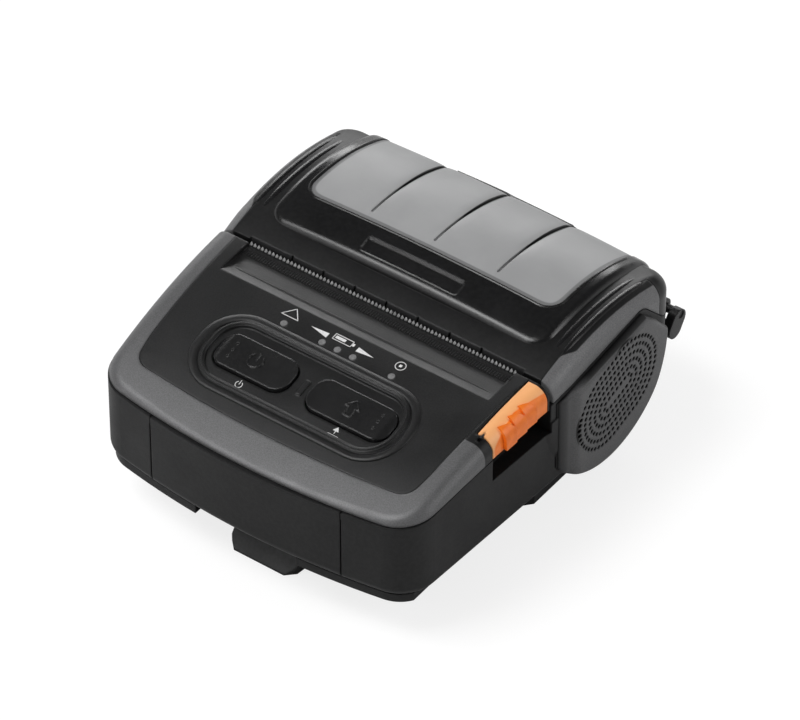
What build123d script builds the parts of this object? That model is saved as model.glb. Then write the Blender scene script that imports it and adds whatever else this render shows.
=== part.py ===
from build123d import *
import math
import os

os.makedirs("parts", exist_ok=True)

# Portable label printer for paper 80 mm wide. Millimetres, +Z up, +X to the operator's
# right, the front towards -Y. The origin lies on the floor under the middle.
# Places in the side view are given as (back, up): the distance behind the front seam
# line and the height above the underside of the housing front.
front_seam_y = -61.2
housing_lift = 15.0

# Housing outline in plan
side_half = 53.2
front_bow_back = -2.5
front_taper = 3.2
front_shoulder_half = side_half - front_taper
front_shoulder_back = 2.8
side_step_back = 66.0
front_corner_radius = 11.0
rear_corner_radius = 7.0

# Roll drum and shell
drum_back = 82.5
drum_up = 22.5
drum_radius = 31.0
wall = 2.0
floor_edge_radius = 2.5
bezel_edge_radius = 4.0
cover_edge_radius = 5.0
shoulder_reach = 3.8
shoulder_half = side_half + shoulder_reach
shoulder_radius = 8.0
skirt_height = 3.0
skirt_inset = 1.2
skirt_width = 4.8
skirt_side_inset = 2.4
skirt_x = (16.0, 60.0)
skirt_back = 30.0

# Crowned tops, each an arc across the side view: (back, up) of its crest, and its radius
panel_crest = (57.9, 34.75)
panel_radius = 162.7
cover_crest = (83.9, 38.4)
cover_radius = 80.0
hood_crest = (85.5, 41.3)
hood_radius = 60.0
seam_crest = (56.4, 27.3)
seam_radius = 390.0

# Parting lines
slot_back = 57.2
slot_width = 1.7
lip_back = 60.4
lip_drop = 1.7
lip_half = 43.4
lip_notch_pitch = 10.0
lip_notch_count = 7
lip_notch_width = 0.5
parting_gap = 0.3
cover_line_front_up = 28.35
cover_line_peak = (98.0, 33.3)
cover_line_tail_back = 107.8
cover_line_tail_up = 23.0
cover_line_radius = 5.0

# Control panel
panel_front_back = 8.6
panel_front_half = side_half - 10.2
panel_rear_half = side_half - 6.8
panel_side_back = 14.0
panel_depth = 1.5
bezel_wall = 2.6
panel_ledge = 2.0
fit_gap = 0.12
key_gap = 0.3
key_travel = 0.6
key_rise = 0.9
key_corner_radius = 4.0
key_back = (19.3, 29.5)
power_key_x = (-26.9, -3.5)
feed_key_x = (2.5, 27.7)
key_rim_x = 30.0
key_rim_back = (14.3, 34.6)
key_rim_width = 1.4
key_rim_rise = 0.35
key_rim_radius = 8.5
key_divider_back = (21.8, 26.7)
key_divider_rise = 0.4
key_stem_radius = 2.0
key_stem_back = 24.4
scoop_radius = 30.0
scoop_half = 42.4
scoop_back = 52.6
scoop_up = 63.3
key_well_depth = 0.5
lens_radius = 0.95
lens_back = 38.6
lens_x = (-17.0, -4.85, 0.0, 4.85, 17.0)

# Paper path
paper_width = 80.0
platen_back = 62.2
platen_up = 27.6
platen_radius = 4.2
platen_half = 40.5
platen_shaft_radius = 2.0
roller_gap = 0.5
bushing_radius = 3.4
running_gap = 0.04
notch_gap = 0.2
head_half = 40.9
head_back = (54.6, 57.6)
head_up = (18.0, 31.4)
head_pivot = (56.0, 18.4)
head_pivot_radius = 1.0
arm_x = (41.2, 42.7)
frame_x = (43.0, 44.2)
roll_back = 83.0
roll_up = 21.5
bucket_radius = 25.0
bucket_wall = 1.5
bucket_half = 40.7

# Gear train on the left
gear_module = 0.5
platen_teeth = 18
small_teeth = 14
large_teeth = 36
pinion_teeth = 12
gear_width = 1.6
gear_backlash = 0.14
gear_line_angle = 233.0
motor_line_angle = 197.0
idler_axle_radius = 1.0
motor_shaft_radius = 1.0
motor_boss_radius = 3.6

# Paper sensor
sensor_half = 4.0
sensor_back = (54.5, 58.8)
sensor_up = (10.0, 14.0)

# Rear hinge
hinge_back = 113.0
hinge_up = 20.4
hinge_pin_radius = 1.25
knuckle_radius = 2.5
knuckle_gap = 0.3
case_knuckle_x = (27.3, 36.0)
cover_knuckle_x = (17.5, 27.0)

# Hood and window
hood_half = side_half - 8.8
hood_back = (66.0, 116.4)
hood_low_up = 24.6
hood_wall = 1.8
hood_rear_radius = 9.5
hood_corner_radius = 6.0
hood_rim_radius = 2.2
window_half = 39.6
window_front_back = 77.5
window_low_up = 28.0
window_corner_radius = 4.5
window_sink = 0.25
groove_x = (-20.0, 0.0, 20.0)
groove_front_back = 80.4
groove_half = 0.35
groove_depth = 0.45
badge_half = 15.2
badge_back = (68.4, 72.8)
trim_x = side_half - 4.2
trim_rear_back = 105.5
pad_half = 18.5
pad_rise = 1.6
pad_top_up = 31.0

# Cheeks
cheek_thick = 2.4
cheek_front_back = 60.2
cheek_centre = (82.0, 21.0)
cheek_radius = 26.8
cheek_edge_radius = 1.8
cheek_line_drop = 1.3
grille_centre = (84.0, 15.5)
grille_radius = 13.2
grille_half_length = 4.3
grille_tilt = 16.0
grille_sink = 0.3

# Belt clip
clip_pin_back = 122.5
clip_pin_up = 11.2
clip_pin_radius = 1.2
clip_lug_radius = 2.4
clip_lug_x = (22.0, 26.0)
clip_plate = 3.6
clip_drum_gap = 2.9
clip_ear_x = (side_half - 6.6, side_half - 4.2)
clip_tip_half = 10.5
clip_root_half = clip_ear_x[0] - 2.6
clip_lug_gap = 0.4
clip_tongue_back = (18.0, 50.0, 64.0)
clip_nose_back = 20.5
clip_nose_up = -0.4
clip_ear_centre = (120.9, 8.9)
clip_ear_size = (8.6, 5.8)
clip_ear_lean = 34.0

# Battery
battery_half = 30.0
battery_back = 52.5
battery_up = (1.9, 20.6)
battery_gap = 0.3
bay_wall = 1.3
contact_x = (-12.0, -4.0, 4.0, 12.0)
contact_up = (6.0, 10.0)
face_depth = 4.0

# Limits well beyond the printer, for cutting tools
all_across = (-80, 80)
all_up = (-40, 80)


def side(back, up):
    """A place in the side view as YZ coordinates."""
    return (front_seam_y + back, housing_lift + up)


def at(across, back, up):
    """A place in the part's own frame."""
    return Vector(across, front_seam_y + back, housing_lift + up)


def block(across, back, up):
    """A box from its (low, high) limits in the three directions."""
    limits = (across, back, up)
    centre = at(*[sum(pair) / 2 for pair in limits])
    return Pos(centre) * Box(*[pair[1] - pair[0] for pair in limits])


def rod(radius, across, back, up):
    """A round bar along X between the two limits of across."""
    low, high = across
    return Pos(at((low + high) / 2, back, up)) * Rot(0, 90, 0) * Cylinder(radius, high - low)


def post(radius, across, back, up):
    """An upright round post between the two limits of up."""
    low, high = up
    return Pos(at(across, back, (low + high) / 2)) * Cylinder(radius, high - low)


def slab(edges, across):
    """A closed side-view outline made solid between the two limits of across."""
    low, high = across
    face = make_face(edges)
    face = Plane.YZ * face
    return Pos(low, 0, 0) * extrude(face, amount=high - low, dir=(1, 0, 0))


def both_sides(shape):
    """The shape and its mirror image across the middle plane."""
    return shape + mirror(shape, about=Plane.YZ)


def outline(inset=0.0):
    """The housing in plan, shrunk by inset, as a face at height 0."""
    rear = front_seam_y + drum_back + drum_radius
    front = ThreePointArc(
        (-front_shoulder_half, front_seam_y + front_shoulder_back),
        (0, front_seam_y + front_bow_back),
        (front_shoulder_half, front_seam_y + front_shoulder_back),
    )
    step = front_seam_y + side_step_back
    sides = Polyline(
        front @ 1, (side_half, step), (side_half, rear), (-side_half, rear), (-side_half, step), front @ 0
    )
    face = make_face([front.edge(), *sides.edges()])
    corners = face.vertices().sort_by(Axis.Y)
    face = fillet([v for v in corners if v.Y < step - 10], front_corner_radius)
    corners = face.vertices().sort_by(Axis.Y)
    face = fillet(corners[-2:], rear_corner_radius)
    if inset:
        face = offset(face, amount=-inset, kind=Kind.INTERSECTION)
    return face


def crowned(crest, radius, half, shoulder, inset=0.0, depth=45.0):
    """A band turned about an axis across the printer, with its outer face as a bent top."""
    back, up = crest
    top = up - inset
    centre_up = up - radius
    section = Pos(0, top - depth / 2) * Rectangle(2 * half, depth)
    if shoulder:
        section = fillet(section.vertices().group_by(Axis.Y)[-1], shoulder)
    plane = Plane(origin=at(0, back, 0), x_dir=(1, 0, 0), z_dir=(0, -1, 0))
    return revolve(plane * section, Axis(at(0, back, centre_up), (1, 0, 0)), 360)


def housing(inset=0.0):
    """The lower housing as one solid, shrunk by inset, open above the lid."""
    height = 44.0
    base = extrude(Pos(0, 0, housing_lift + inset) * outline(inset), amount=height)
    if inset < floor_edge_radius - 0.6:
        base = fillet(base.edges().group_by(Axis.Z)[0], floor_edge_radius - inset)
    below_drum = block(all_across, (drum_back, 200), (-40, drum_up))
    half = Pos(0, 0, housing_lift + drum_up) * outline(inset)
    half = half & (Pos(at(0, drum_back + 100, drum_up)) * Box(200, 200, 1))
    drum = revolve(half, Axis(at(0, drum_back, drum_up), (1, 0, 0)), -180)
    return (base - below_drum) + drum


def top_block(crest, bend, inset, rear):
    """The housing outline under a crowned top with its upper rim rounded.

    The rim is rounded from the front wall for the bezel and from the rear wall for the cover.
    """
    prism = extrude(Pos(0, 0, housing_lift) * outline(inset), amount=60)
    solid = prism & crowned(crest, bend, shoulder_half - inset, shoulder_radius, inset)
    if rear:
        solid = solid - block(all_across, (-80, slot_back - 10), all_up)
        wall_face = solid.faces().sort_by(Axis.Y)[-1]
        radius = cover_edge_radius
    else:
        solid = solid - block(all_across, (slot_back + 10, 200), all_up)
        wall_face = solid.faces().sort_by(Axis.Y)[0]
        radius = bezel_edge_radius
    rim = wall_face.edges().sort_by(Axis.Z)[-1]
    return fillet(rim, max(radius - inset, 0.6))


def front_block(inset=0.0):
    """Everything under the control panel's surface, shrunk by inset."""
    return top_block(panel_crest, panel_radius, inset, rear=False)


def cover_block(inset=0.0):
    """Everything under the cover's surface, shrunk by inset."""
    return top_block(cover_crest, cover_radius, inset, rear=True)


def above_parting(lift):
    """The space above the line where bezel and cover meet the lower case, raised by lift."""
    back, up = seam_crest
    low_up = up - seam_radius + lift

    def seam_point(place):
        return side(place, low_up + math.sqrt(seam_radius**2 - (place - back) ** 2))

    seam = ThreePointArc(seam_point(-10), seam_point(25), seam_point(slot_back))
    line = FilletPolyline(
        side(slot_back, cover_line_front_up + lift),
        side(cover_line_peak[0], cover_line_peak[1] + lift),
        side(cover_line_tail_back, cover_line_tail_up + lift),
        side(140, cover_line_tail_up + lift),
        radius=cover_line_radius,
    )
    rest = Polyline(line @ 1, side(140, 70), side(-10, 70), seam @ 0)
    step = Line(seam @ 1, line @ 0)
    return slab([seam.edge(), step.edge(), *line.edges(), *rest.edges()], (-70, 70))


def panel_outline(inset=0.0):
    """The control panel in plan as a face at height 0."""
    front = panel_front_back + inset
    half = panel_front_half - inset
    rear_half = panel_rear_half - inset
    rear = front_seam_y + slot_back
    left = (-half - 1.2, front_seam_y + panel_side_back + 4)
    right = (half + 1.2, front_seam_y + panel_side_back + 4)
    bow = ThreePointArc((-half, front_seam_y + front + 1.4), (0, front_seam_y + front - 0.7),
                        (half, front_seam_y + front + 1.4))
    edges = Polyline(bow @ 1, right, (rear_half, rear), (-rear_half, rear), left, bow @ 0)
    face = make_face([bow.edge(), *edges.edges()])
    corners = [v for v in face.vertices() if v.Y < front_seam_y + 13]
    return fillet(corners, 5.0)


def track_face(across, back, radius):
    """A rounded rectangle in plan from its limits."""
    centre = (sum(across) / 2, front_seam_y + sum(back) / 2)
    return Pos(*centre, 0) * RectangleRounded(across[1] - across[0], back[1] - back[0], radius)


def upright(face):
    """A plan face made into a tall prism."""
    return extrude(Pos(0, 0, housing_lift) * face, amount=60)


def skin(outer, inner):
    """The layer of the front block between two depths."""
    return front_block(outer) - front_block(inner)


def gear(teeth, angle, across, back, up, bore):
    """A spur gear across the printer with one tooth pointing along the given angle in degrees."""
    pitch = gear_module * teeth / 2
    thickness = math.pi * gear_module / 2 - gear_backlash
    tip_radius = pitch + 0.9 * gear_module
    root_radius = pitch - 1.15 * gear_module
    tip_half = thickness * 0.26 / tip_radius
    pitch_half = thickness * 0.5 / pitch
    root_half = thickness * 0.72 / root_radius
    points = []
    for number in range(teeth):
        middle = math.radians(angle) + 2 * math.pi * number / teeth
        for radius, turn in (
            (root_radius, -root_half),
            (pitch, -pitch_half),
            (tip_radius, -tip_half),
            (tip_radius, tip_half),
            (pitch, pitch_half),
            (root_radius, root_half),
        ):
            corner = middle + turn
            points.append(side(back + radius * math.cos(corner), up + radius * math.sin(corner)))
    wheel = slab(Polyline(*points, close=True).edges(), across)
    return wheel - rod(bore, (across[0] - 1, across[1] + 1), back, up)


def half_pitch(teeth):
    """Half the angle from one tooth to the next, in degrees."""
    return 180.0 / teeth


# Places worked out from the gear train
small_distance = gear_module * (platen_teeth + small_teeth) / 2
large_distance = gear_module * (large_teeth + pinion_teeth) / 2
idler_back = platen_back + small_distance * math.cos(math.radians(gear_line_angle))
idler_up = platen_up + small_distance * math.sin(math.radians(gear_line_angle))
motor_back = idler_back + large_distance * math.cos(math.radians(motor_line_angle))
motor_up = idler_up + large_distance * math.sin(math.radians(motor_line_angle))
mesh_x = (-frame_x[1] - 0.4 - gear_width, -frame_x[1] - 0.4)
train_x = (mesh_x[0] - 0.3 - gear_width, mesh_x[0] - 0.3)

# Places inside the tub
bay_top_up = battery_up[1] + battery_gap
board_up = (bay_top_up + bay_wall + 0.1, bay_top_up + bay_wall + 1.5)
switch_half = 3.0
switch_body_height = 1.1
switch_height = 1.6
board_half = side_half - 8.6
board_back = (7.0, 49.0)
front_boss = (side_half - 13.7, 13.5)
rear_boss = (side_half - 6.3, 30.2)
screw_radius = 1.1
boss_radius = 3.0
slim_boss_radius = 2.7
screw_head_radius = 1.8
screw_seat_up = 4.0
motor_radius = 8.0
frame_low_up = 9.0
bracket_back = (48.5, 52.4)
bracket_wall = 1.4
motor_x = (-frame_x[0], -battery_half - bay_wall - battery_gap - 0.2)
recess_back = (34.5, 58.0)
recess_up = (19.5, 26.0)
recess_x = (side_half - 5.6, side_half + 7.0)
lever_back = (34.6, 56.4)
lever_inner_x = side_half - 6.3
lever_pin_x = side_half - 5.0
lever_pin_up = 32.5
lever_pin_radius = 0.6
lever_barrel_radius = 1.15
lever_gap = 0.5
lever_end_gap = 0.3
lever_wall = 2.2
lever_ear_half = 1.3
lever_ear_depth = 2.0
lever_step_pitch = 4.2
lever_step_length = 2.2
lever_step_start = 40.5
lever_step_rise = 0.6
lever_step_up = (28.5, 33.2)
usb_back = (19.4, 27.4)
usb_up = (19.2, board_up[0] - 0.05)
charge_back = (10.8, 17.8)
charge_up = (15.6, board_up[0] - 0.05)
socket_x = (-side_half + 2.2, -side_half + 9.7)


def in_front():
    """The space in front of the slot."""
    return block(all_across, (-20, slot_back), all_up)


def behind():
    """The space behind the slot."""
    return block(all_across, (slot_back + slot_width, 200), all_up)


def lower_case():
    """The tub with drum, battery bay, finger recess, ribs, bosses, knuckles and clip lugs."""
    room = housing(wall)
    shell = housing() - room
    bay = block(
        (-battery_half - battery_gap - bay_wall, battery_half + battery_gap + bay_wall),
        (-20, battery_back + battery_gap + bay_wall),
        (0, bay_top_up + bay_wall),
    )
    shell = shell + (bay & housing())
    shell = shell - above_parting(-parting_gap / 2)
    shell = shell - block(
        (-battery_half - battery_gap, battery_half + battery_gap),
        (-20, battery_back + battery_gap),
        (battery_up[0] - battery_gap, bay_top_up),
    )
    shell = shell - block(
        (-battery_half - fit_gap, battery_half + fit_gap), (-20, face_depth), (-1, 30)
    )
    for across, back, radius, top in (
        (front_boss[0], front_boss[1], boss_radius, board_up[0] - 0.05),
        (rear_boss[0], rear_boss[1], slim_boss_radius, board_up[1] + 0.6),
    ):
        boss = post(radius, across, back, (wall / 2, top))
        boss = boss - post(screw_radius + 0.1, across, back, (-1, top + 1))
        boss = boss - post(screw_head_radius + 0.1, across, back, (-1, screw_seat_up))
        hole = post(screw_head_radius + 0.1, across, back, (-1, wall + 0.5))
        shell = shell - both_sides(hole) + both_sides(boss)
    recess = block(
        (recess_x[0] - bay_wall, side_half + 5),
        (recess_back[0] - bay_wall, recess_back[1] + bay_wall),
        (recess_up[0] - bay_wall, 40),
    )
    recess = recess & housing() - above_parting(-parting_gap / 2)
    hollow = block(recess_x, recess_back, (recess_up[0], 40))
    shell = shell + recess - hollow
    for across in (-30.0, 0.0, 30.0):
        rib = block((across - 0.8, across + 0.8), (drum_back - 22, drum_back + 24), (-20, 4)) & room
        shell = shell + (rib - rod(bucket_radius + bucket_wall + 0.05, (-60, 60), roll_back, roll_up))
    knuckle = rod(knuckle_radius, case_knuckle_x, hinge_back, hinge_up)
    web = block(case_knuckle_x, (hinge_back - 2.0, hinge_back), (hinge_up - 6, hinge_up))
    shell = shell + both_sides(knuckle + (web & housing()))
    sweep = (-cover_knuckle_x[1] - knuckle_gap / 2, cover_knuckle_x[1] + knuckle_gap / 2)
    shell = shell - rod(knuckle_radius + knuckle_gap, sweep, hinge_back, hinge_up)
    shell = shell - block(sweep, (hinge_back - knuckle_radius, hinge_back + 3), (hinge_up, 30))
    pin_bore_x = (-case_knuckle_x[1] - 1, case_knuckle_x[1] + 1)
    shell = shell - rod(hinge_pin_radius + 0.02, pin_bore_x, hinge_back, hinge_up)
    lug_points = [
        side(drum_back + drum_radius * 0.93, clip_pin_up + clip_lug_radius),
        side(clip_pin_back, clip_pin_up + clip_lug_radius),
        side(clip_pin_back, clip_pin_up - clip_lug_radius),
        side(drum_back + drum_radius * 0.84, clip_pin_up - clip_lug_radius - 3.5),
    ]
    lug = slab(Polyline(*lug_points, close=True).edges(), clip_lug_x)
    lug = lug + rod(clip_lug_radius, clip_lug_x, clip_pin_back, clip_pin_up)
    lug = lug - rod(drum_radius - wall / 2, (-60, 60), drum_back, drum_up)
    shell = shell + both_sides(lug)
    shell = shell - rod(clip_pin_radius + running_gap, (-40, 40), clip_pin_back, clip_pin_up)
    for back, up in ((usb_back, usb_up), (charge_back, charge_up)):
        mouth = block((-80, socket_x[1] - 1.5), (back[0] - 0.2, back[1] + 0.2), (up[0] - 0.2, up[1] + 0.1))
        shell = shell - mouth
    for across in contact_x:
        shell = shell - block((across - 1.1, across + 1.1), (battery_back - 1, battery_back + 4), contact_up)
    return shell


def base_skirt():
    """The low skirt under the front edge, split in the middle by the clip's tongue."""
    face = outline(skirt_inset) - outline(skirt_inset + skirt_width)
    ring = extrude(Pos(0, 0, housing_lift - skirt_height) * face, amount=skirt_height)
    keep = block((skirt_x[0], front_shoulder_half - skirt_side_inset), (-10, skirt_back), (-5, 1))
    half = ring & keep
    low_edges = half.edges().group_by(Axis.Z)[0]
    half = chamfer(low_edges, 0.4)
    return both_sides(half)


def front_bezel():
    """The graphite frame over the tub, open for the panel, the lever and the slot."""
    shell = skin(0.0, bezel_wall) & above_parting(parting_gap / 2) & in_front()
    shell = shell - upright(panel_outline(panel_ledge))
    shell = shell - (skin(-1.0, panel_depth + 0.02) & upright(panel_outline(-fit_gap)))
    lever_room = (lever_back[0] - lever_end_gap, lever_back[1] + lever_end_gap)
    shell = shell - block((lever_inner_x - lever_gap, 80), lever_room, (20, 40))
    for across, back, radius, low in (
        (front_boss[0], front_boss[1], boss_radius - 0.4, board_up[1] + 0.05),
        (rear_boss[0], rear_boss[1], slim_boss_radius, board_up[1] + 0.65),
    ):
        boss = post(radius, across, back, (low, 32)) & front_block(panel_depth + 0.02) & housing(wall + 0.15)
        shell = shell + both_sides(boss - post(screw_radius + 0.02, across, back, (low - 1, low + 3.5)))
    ear_x = (lever_pin_x - lever_ear_half, lever_pin_x + lever_ear_half)
    ear_up = (lever_pin_up - 1.5, 36)
    ears = block(ear_x, (lever_room[0] - lever_ear_depth, lever_room[0]), ear_up)
    ears = ears + block(ear_x, (lever_room[1], slot_back), ear_up)
    shell = shell + ((ears & front_block(0.5)) - upright(panel_outline(-fit_gap)))
    pin_hole = at(lever_pin_x, sum(lever_back) / 2, lever_pin_up)
    bore = Pos(pin_hole) * Rot(90, 0, 0) * Cylinder(lever_pin_radius + 0.02, 26)
    return shell - bore


def control_panel():
    """The black insert with its key well, raised rim, light holes and paper ledge."""
    plate = skin(0.0, panel_depth) & upright(panel_outline())
    well = track_face((-key_rim_x, key_rim_x), key_rim_back, key_rim_radius)
    inner = track_face(
        (-key_rim_x + key_rim_width, key_rim_x - key_rim_width),
        (key_rim_back[0] + key_rim_width, key_rim_back[1] - key_rim_width),
        key_rim_radius - key_rim_width,
    )
    plate = plate + (skin(-key_rim_rise, 0.3) & upright(well - inner))
    plate = plate - (skin(-1.0, key_well_depth) & upright(inner))
    for limits in (power_key_x, feed_key_x):
        hole = track_face(
            (limits[0] - key_gap, limits[1] + key_gap), (key_back[0] - key_gap, key_back[1] + key_gap),
            key_corner_radius + key_gap,
        )
        plate = plate - upright(hole)
    for across in lens_x:
        plate = plate - post(lens_radius + 0.03, across, lens_back, (20, 40))
    divider = block((-0.7, 0.7), key_divider_back, (20, 60))
    plate = plate + (skin(key_well_depth - key_divider_rise, panel_depth) & divider)
    return plate - rod(scoop_radius, (-scoop_half, scoop_half), scoop_back, scoop_up)


def key(limits):
    """A rocker-shaped key with dished ends, on a stem over its switch."""
    face = track_face(limits, key_back, key_corner_radius)
    cap = skin(-key_rise, panel_depth + 0.6) & upright(face)
    middle = sum(limits) / 2
    stem = post(key_stem_radius, middle, key_stem_back, (board_up[1] + switch_height + key_travel + 0.1, 29))
    return cap + (stem & front_block(1.0))


def status_lenses():
    """Five small round lenses, each a stepped light pipe."""
    pipes = []
    for across in lens_x:
        pipe = post(lens_radius, across, lens_back, (board_up[1] + 0.8, 40)) & front_block(0.05)
        pipes.append(pipe)
    return Compound(children=pipes)


def tear_bar():
    """A toothed strip standing in front of the slot."""
    tooth_pitch = 1.178
    teeth = 72
    root = (33.4, 34.9)
    thickness = 0.6
    half = tooth_pitch * teeth / 2
    points = [(-half - 1.5, housing_lift + 31.9), (-half - 1.5, housing_lift + root[0])]
    for number in range(teeth):
        start = -half + number * tooth_pitch
        points.append((start, housing_lift + root[0]))
        points.append((start + tooth_pitch / 2, housing_lift + root[1]))
    points.append((half, housing_lift + root[0]))
    points.append((half + 1.5, housing_lift + root[0]))
    points.append((half + 1.5, housing_lift + 31.9))
    face = Plane.XZ * make_face(Polyline(*points, close=True).edges())
    strip = extrude(face, amount=thickness, dir=(0, -1, 0))
    return Pos(0, front_seam_y + slot_back + thickness + 0.02, 0) * strip


def hood_block(inset=0.0):
    """The raised hood as a solid, shrunk by inset, down past the cover's lower edge."""
    half = hood_half - inset
    solid = block((-half, half), (hood_back[0] + inset, hood_back[1] - inset), (hood_low_up, 60))
    solid = solid & crowned(hood_crest, hood_radius, shoulder_half, 0, inset)
    rear_wall = solid.faces().sort_by(Axis.Y)[-1]
    solid = fillet(rear_wall.edges().sort_by(Axis.Z)[-1], hood_rear_radius - inset)
    uprights = solid.edges().filter_by(Axis.Z).sort_by(Axis.Y)[:2]
    solid = fillet(uprights, max(hood_corner_radius - inset, 1.0))
    if inset < hood_rim_radius:
        front_wall = solid.faces().sort_by(Axis.Y)[0]
        rim = front_wall.edges().sort_by(Axis.Z)[-1]
        solid = fillet(rim, hood_rim_radius - inset)
    return solid


def window_room(gap):
    """The space of the window opening, grown by gap."""
    low_back = window_front_back - gap
    face = track_face((-window_half - gap, window_half + gap), (low_back, 140), window_corner_radius)
    prism = extrude(Pos(0, 0, housing_lift + window_low_up - gap) * face, amount=40)
    return prism


def cover_hood():
    """The raised hood with its window opening, badge recess and rear pad."""
    shell = hood_block() - hood_block(hood_wall) - cover_block()
    shell = shell - window_room(fit_gap)
    badge = track_face((-badge_half, badge_half), badge_back, 0.8)
    pocket = (hood_block(-0.5) - hood_block(0.4)) & upright(badge)
    shell = shell - pocket
    pad_back = (hood_back[1] - window_sink + 0.05, hood_back[1] + pad_rise)
    pad = block((-pad_half, pad_half), pad_back, (hood_low_up, pad_top_up))
    pad = fillet(pad.edges().filter_by(Axis.X).sort_by(Axis.Y)[-2:], 1.2)
    return shell + pad


def cover_window():
    """The grey pane bent over the roll, with three grooves along the paper's way."""
    pane = (hood_block(window_sink) - hood_block(hood_wall)) & window_room(0.0)
    for across in groove_x:
        cut = block((across - groove_half, across + groove_half), (groove_front_back, 113), (20, 60))
        pane = pane - (cut & (hood_block(-0.5) - hood_block(window_sink + groove_depth)))
    return pane


def trim_room(gap):
    """The space of the cover's side bands, grown by gap, on both sides."""
    return both_sides(block((trim_x - gap, 80), (slot_back, trim_rear_back + gap), (-20, 60)))


def cover_shell():
    """The roll cover's frame with its window cut-out, paper guide, bearing arms and knuckles."""
    room = cover_block(wall)
    shell = (cover_block() - room) & above_parting(parting_gap / 2) & behind()
    shell = shell - trim_room(fit_gap / 2)
    shell = shell - block((-window_half, window_half), (74, 140), (window_low_up, 60))
    front_back = slot_back + slot_width
    guide_up = platen_up + platen_radius + roller_gap + 0.1
    shell = shell + (block((-arm_x[1], arm_x[1]), (front_back, 69), (guide_up, 60)) & room)
    shell = shell - rod(platen_radius + roller_gap, (-arm_x[0], arm_x[0]), platen_back, platen_up)
    lip = Polyline(
        side(front_back - 1, panel_crest[1] - lip_drop),
        side(front_back, panel_crest[1] - lip_drop),
        side(lip_back, 36.0),
        side(front_back - 1, 36.0),
        close=True,
    )
    shell = shell - slab(lip.edges(), (-lip_half, lip_half))
    for number in range(lip_notch_count):
        middle = (number - (lip_notch_count - 1) / 2) * lip_notch_pitch
        notch_x = (middle - lip_notch_width / 2, middle + lip_notch_width / 2)
        shell = shell - block(notch_x, (front_back - 1, lip_back - 0.5), (guide_up, 40))
    arm = rod(bushing_radius + 1.3, arm_x, platen_back, platen_up)
    arm = arm + block(arm_x, (front_back, 67), (platen_up, 45))
    shell = shell + both_sides((arm & room) - rod(bushing_radius + 0.02, (40, 45), platen_back, platen_up))
    knuckle = rod(knuckle_radius, cover_knuckle_x, hinge_back, hinge_up)
    web = block(cover_knuckle_x, (hinge_back - 1.5, hinge_back + 1.4), (hinge_up, cover_line_tail_up + 1.6))
    bore = rod(hinge_pin_radius + running_gap, (0, 60), hinge_back, hinge_up)
    return shell + both_sides(knuckle + web) - both_sides(bore)


def cover_trim(hand):
    """One graphite side band of the cover; hand is 1 on the right and -1 on the left."""
    shell = (cover_block() - cover_block(wall)) & above_parting(parting_gap / 2) & behind()
    room = block((trim_x, 80), (slot_back, trim_rear_back), (-20, 60))
    band = shell & room
    return band if hand > 0 else mirror(band, about=Plane.YZ)


def cheek(hand):
    """One side cap over the drum's end, with the sunk oval field for its dots."""
    slope = (cover_line_peak[1] - cover_line_front_up) / (cover_line_peak[0] - slot_back)
    top_front = cover_line_front_up + slope * (cheek_front_back - slot_back) - cheek_line_drop
    centre_back, centre_up = cheek_centre
    low_up = centre_up - math.sqrt(cheek_radius**2 - (cheek_front_back - centre_back) ** 2)
    start = side(cheek_front_back, low_up)
    corner = side(cover_line_peak[0] - 1.0, cover_line_peak[1] - 0.1 - cheek_line_drop)
    rear = side(centre_back + cheek_radius, centre_up)
    bottom = side(centre_back, centre_up - cheek_radius)
    edge = Polyline(start, side(cheek_front_back, top_front), corner, rear)
    arc = ThreePointArc(rear, bottom, start)
    cap = slab([*edge.edges(), arc.edge()], (side_half, side_half + cheek_thick))
    outer = cap.faces().sort_by(Axis.X)[-1]
    cap = fillet(outer.edges(), cheek_edge_radius)
    sunk = at(side_half + cheek_thick - grille_sink, *grille_centre)
    oval = Plane(origin=sunk, x_dir=(0, 1, 0), z_dir=(1, 0, 0))
    width = 2 * (grille_radius + grille_half_length)
    field = Rot(0, 0, grille_tilt) * SlotOverall(width, 2 * grille_radius)
    cap = cap - extrude(oval * field, amount=2)
    return cap if hand > 0 else mirror(cap, about=Plane.YZ)


def roll_bucket():
    """The half pipe that holds the paper roll, with its two end walls."""
    outer = bucket_radius + bucket_wall
    tub = rod(outer, (-bucket_half - bucket_wall, bucket_half + bucket_wall), roll_back, roll_up)
    tub = tub - rod(bucket_radius, (-bucket_half, bucket_half), roll_back, roll_up)
    tub = tub - block((-60, 60), (0, roll_back - 9), (16.5, 80))
    tub = tub - block((-60, 60), (roll_back - 9.5, 200), (26.5, 80))
    sensor_hole_up = (sensor_up[0] - 0.2, sensor_up[1] + 0.2)
    return tub - block((-sensor_half - 0.2, sensor_half + 0.2), (50, 61), sensor_hole_up)


def paper_sensor():
    """The small sensor that looks through the bucket's front wall."""
    body = block((-sensor_half, sensor_half), sensor_back, sensor_up)
    eye = block((-sensor_half + 1, sensor_half - 1), (sensor_back[1], sensor_back[1] + 0.6), sensor_up)
    return body + eye


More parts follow.
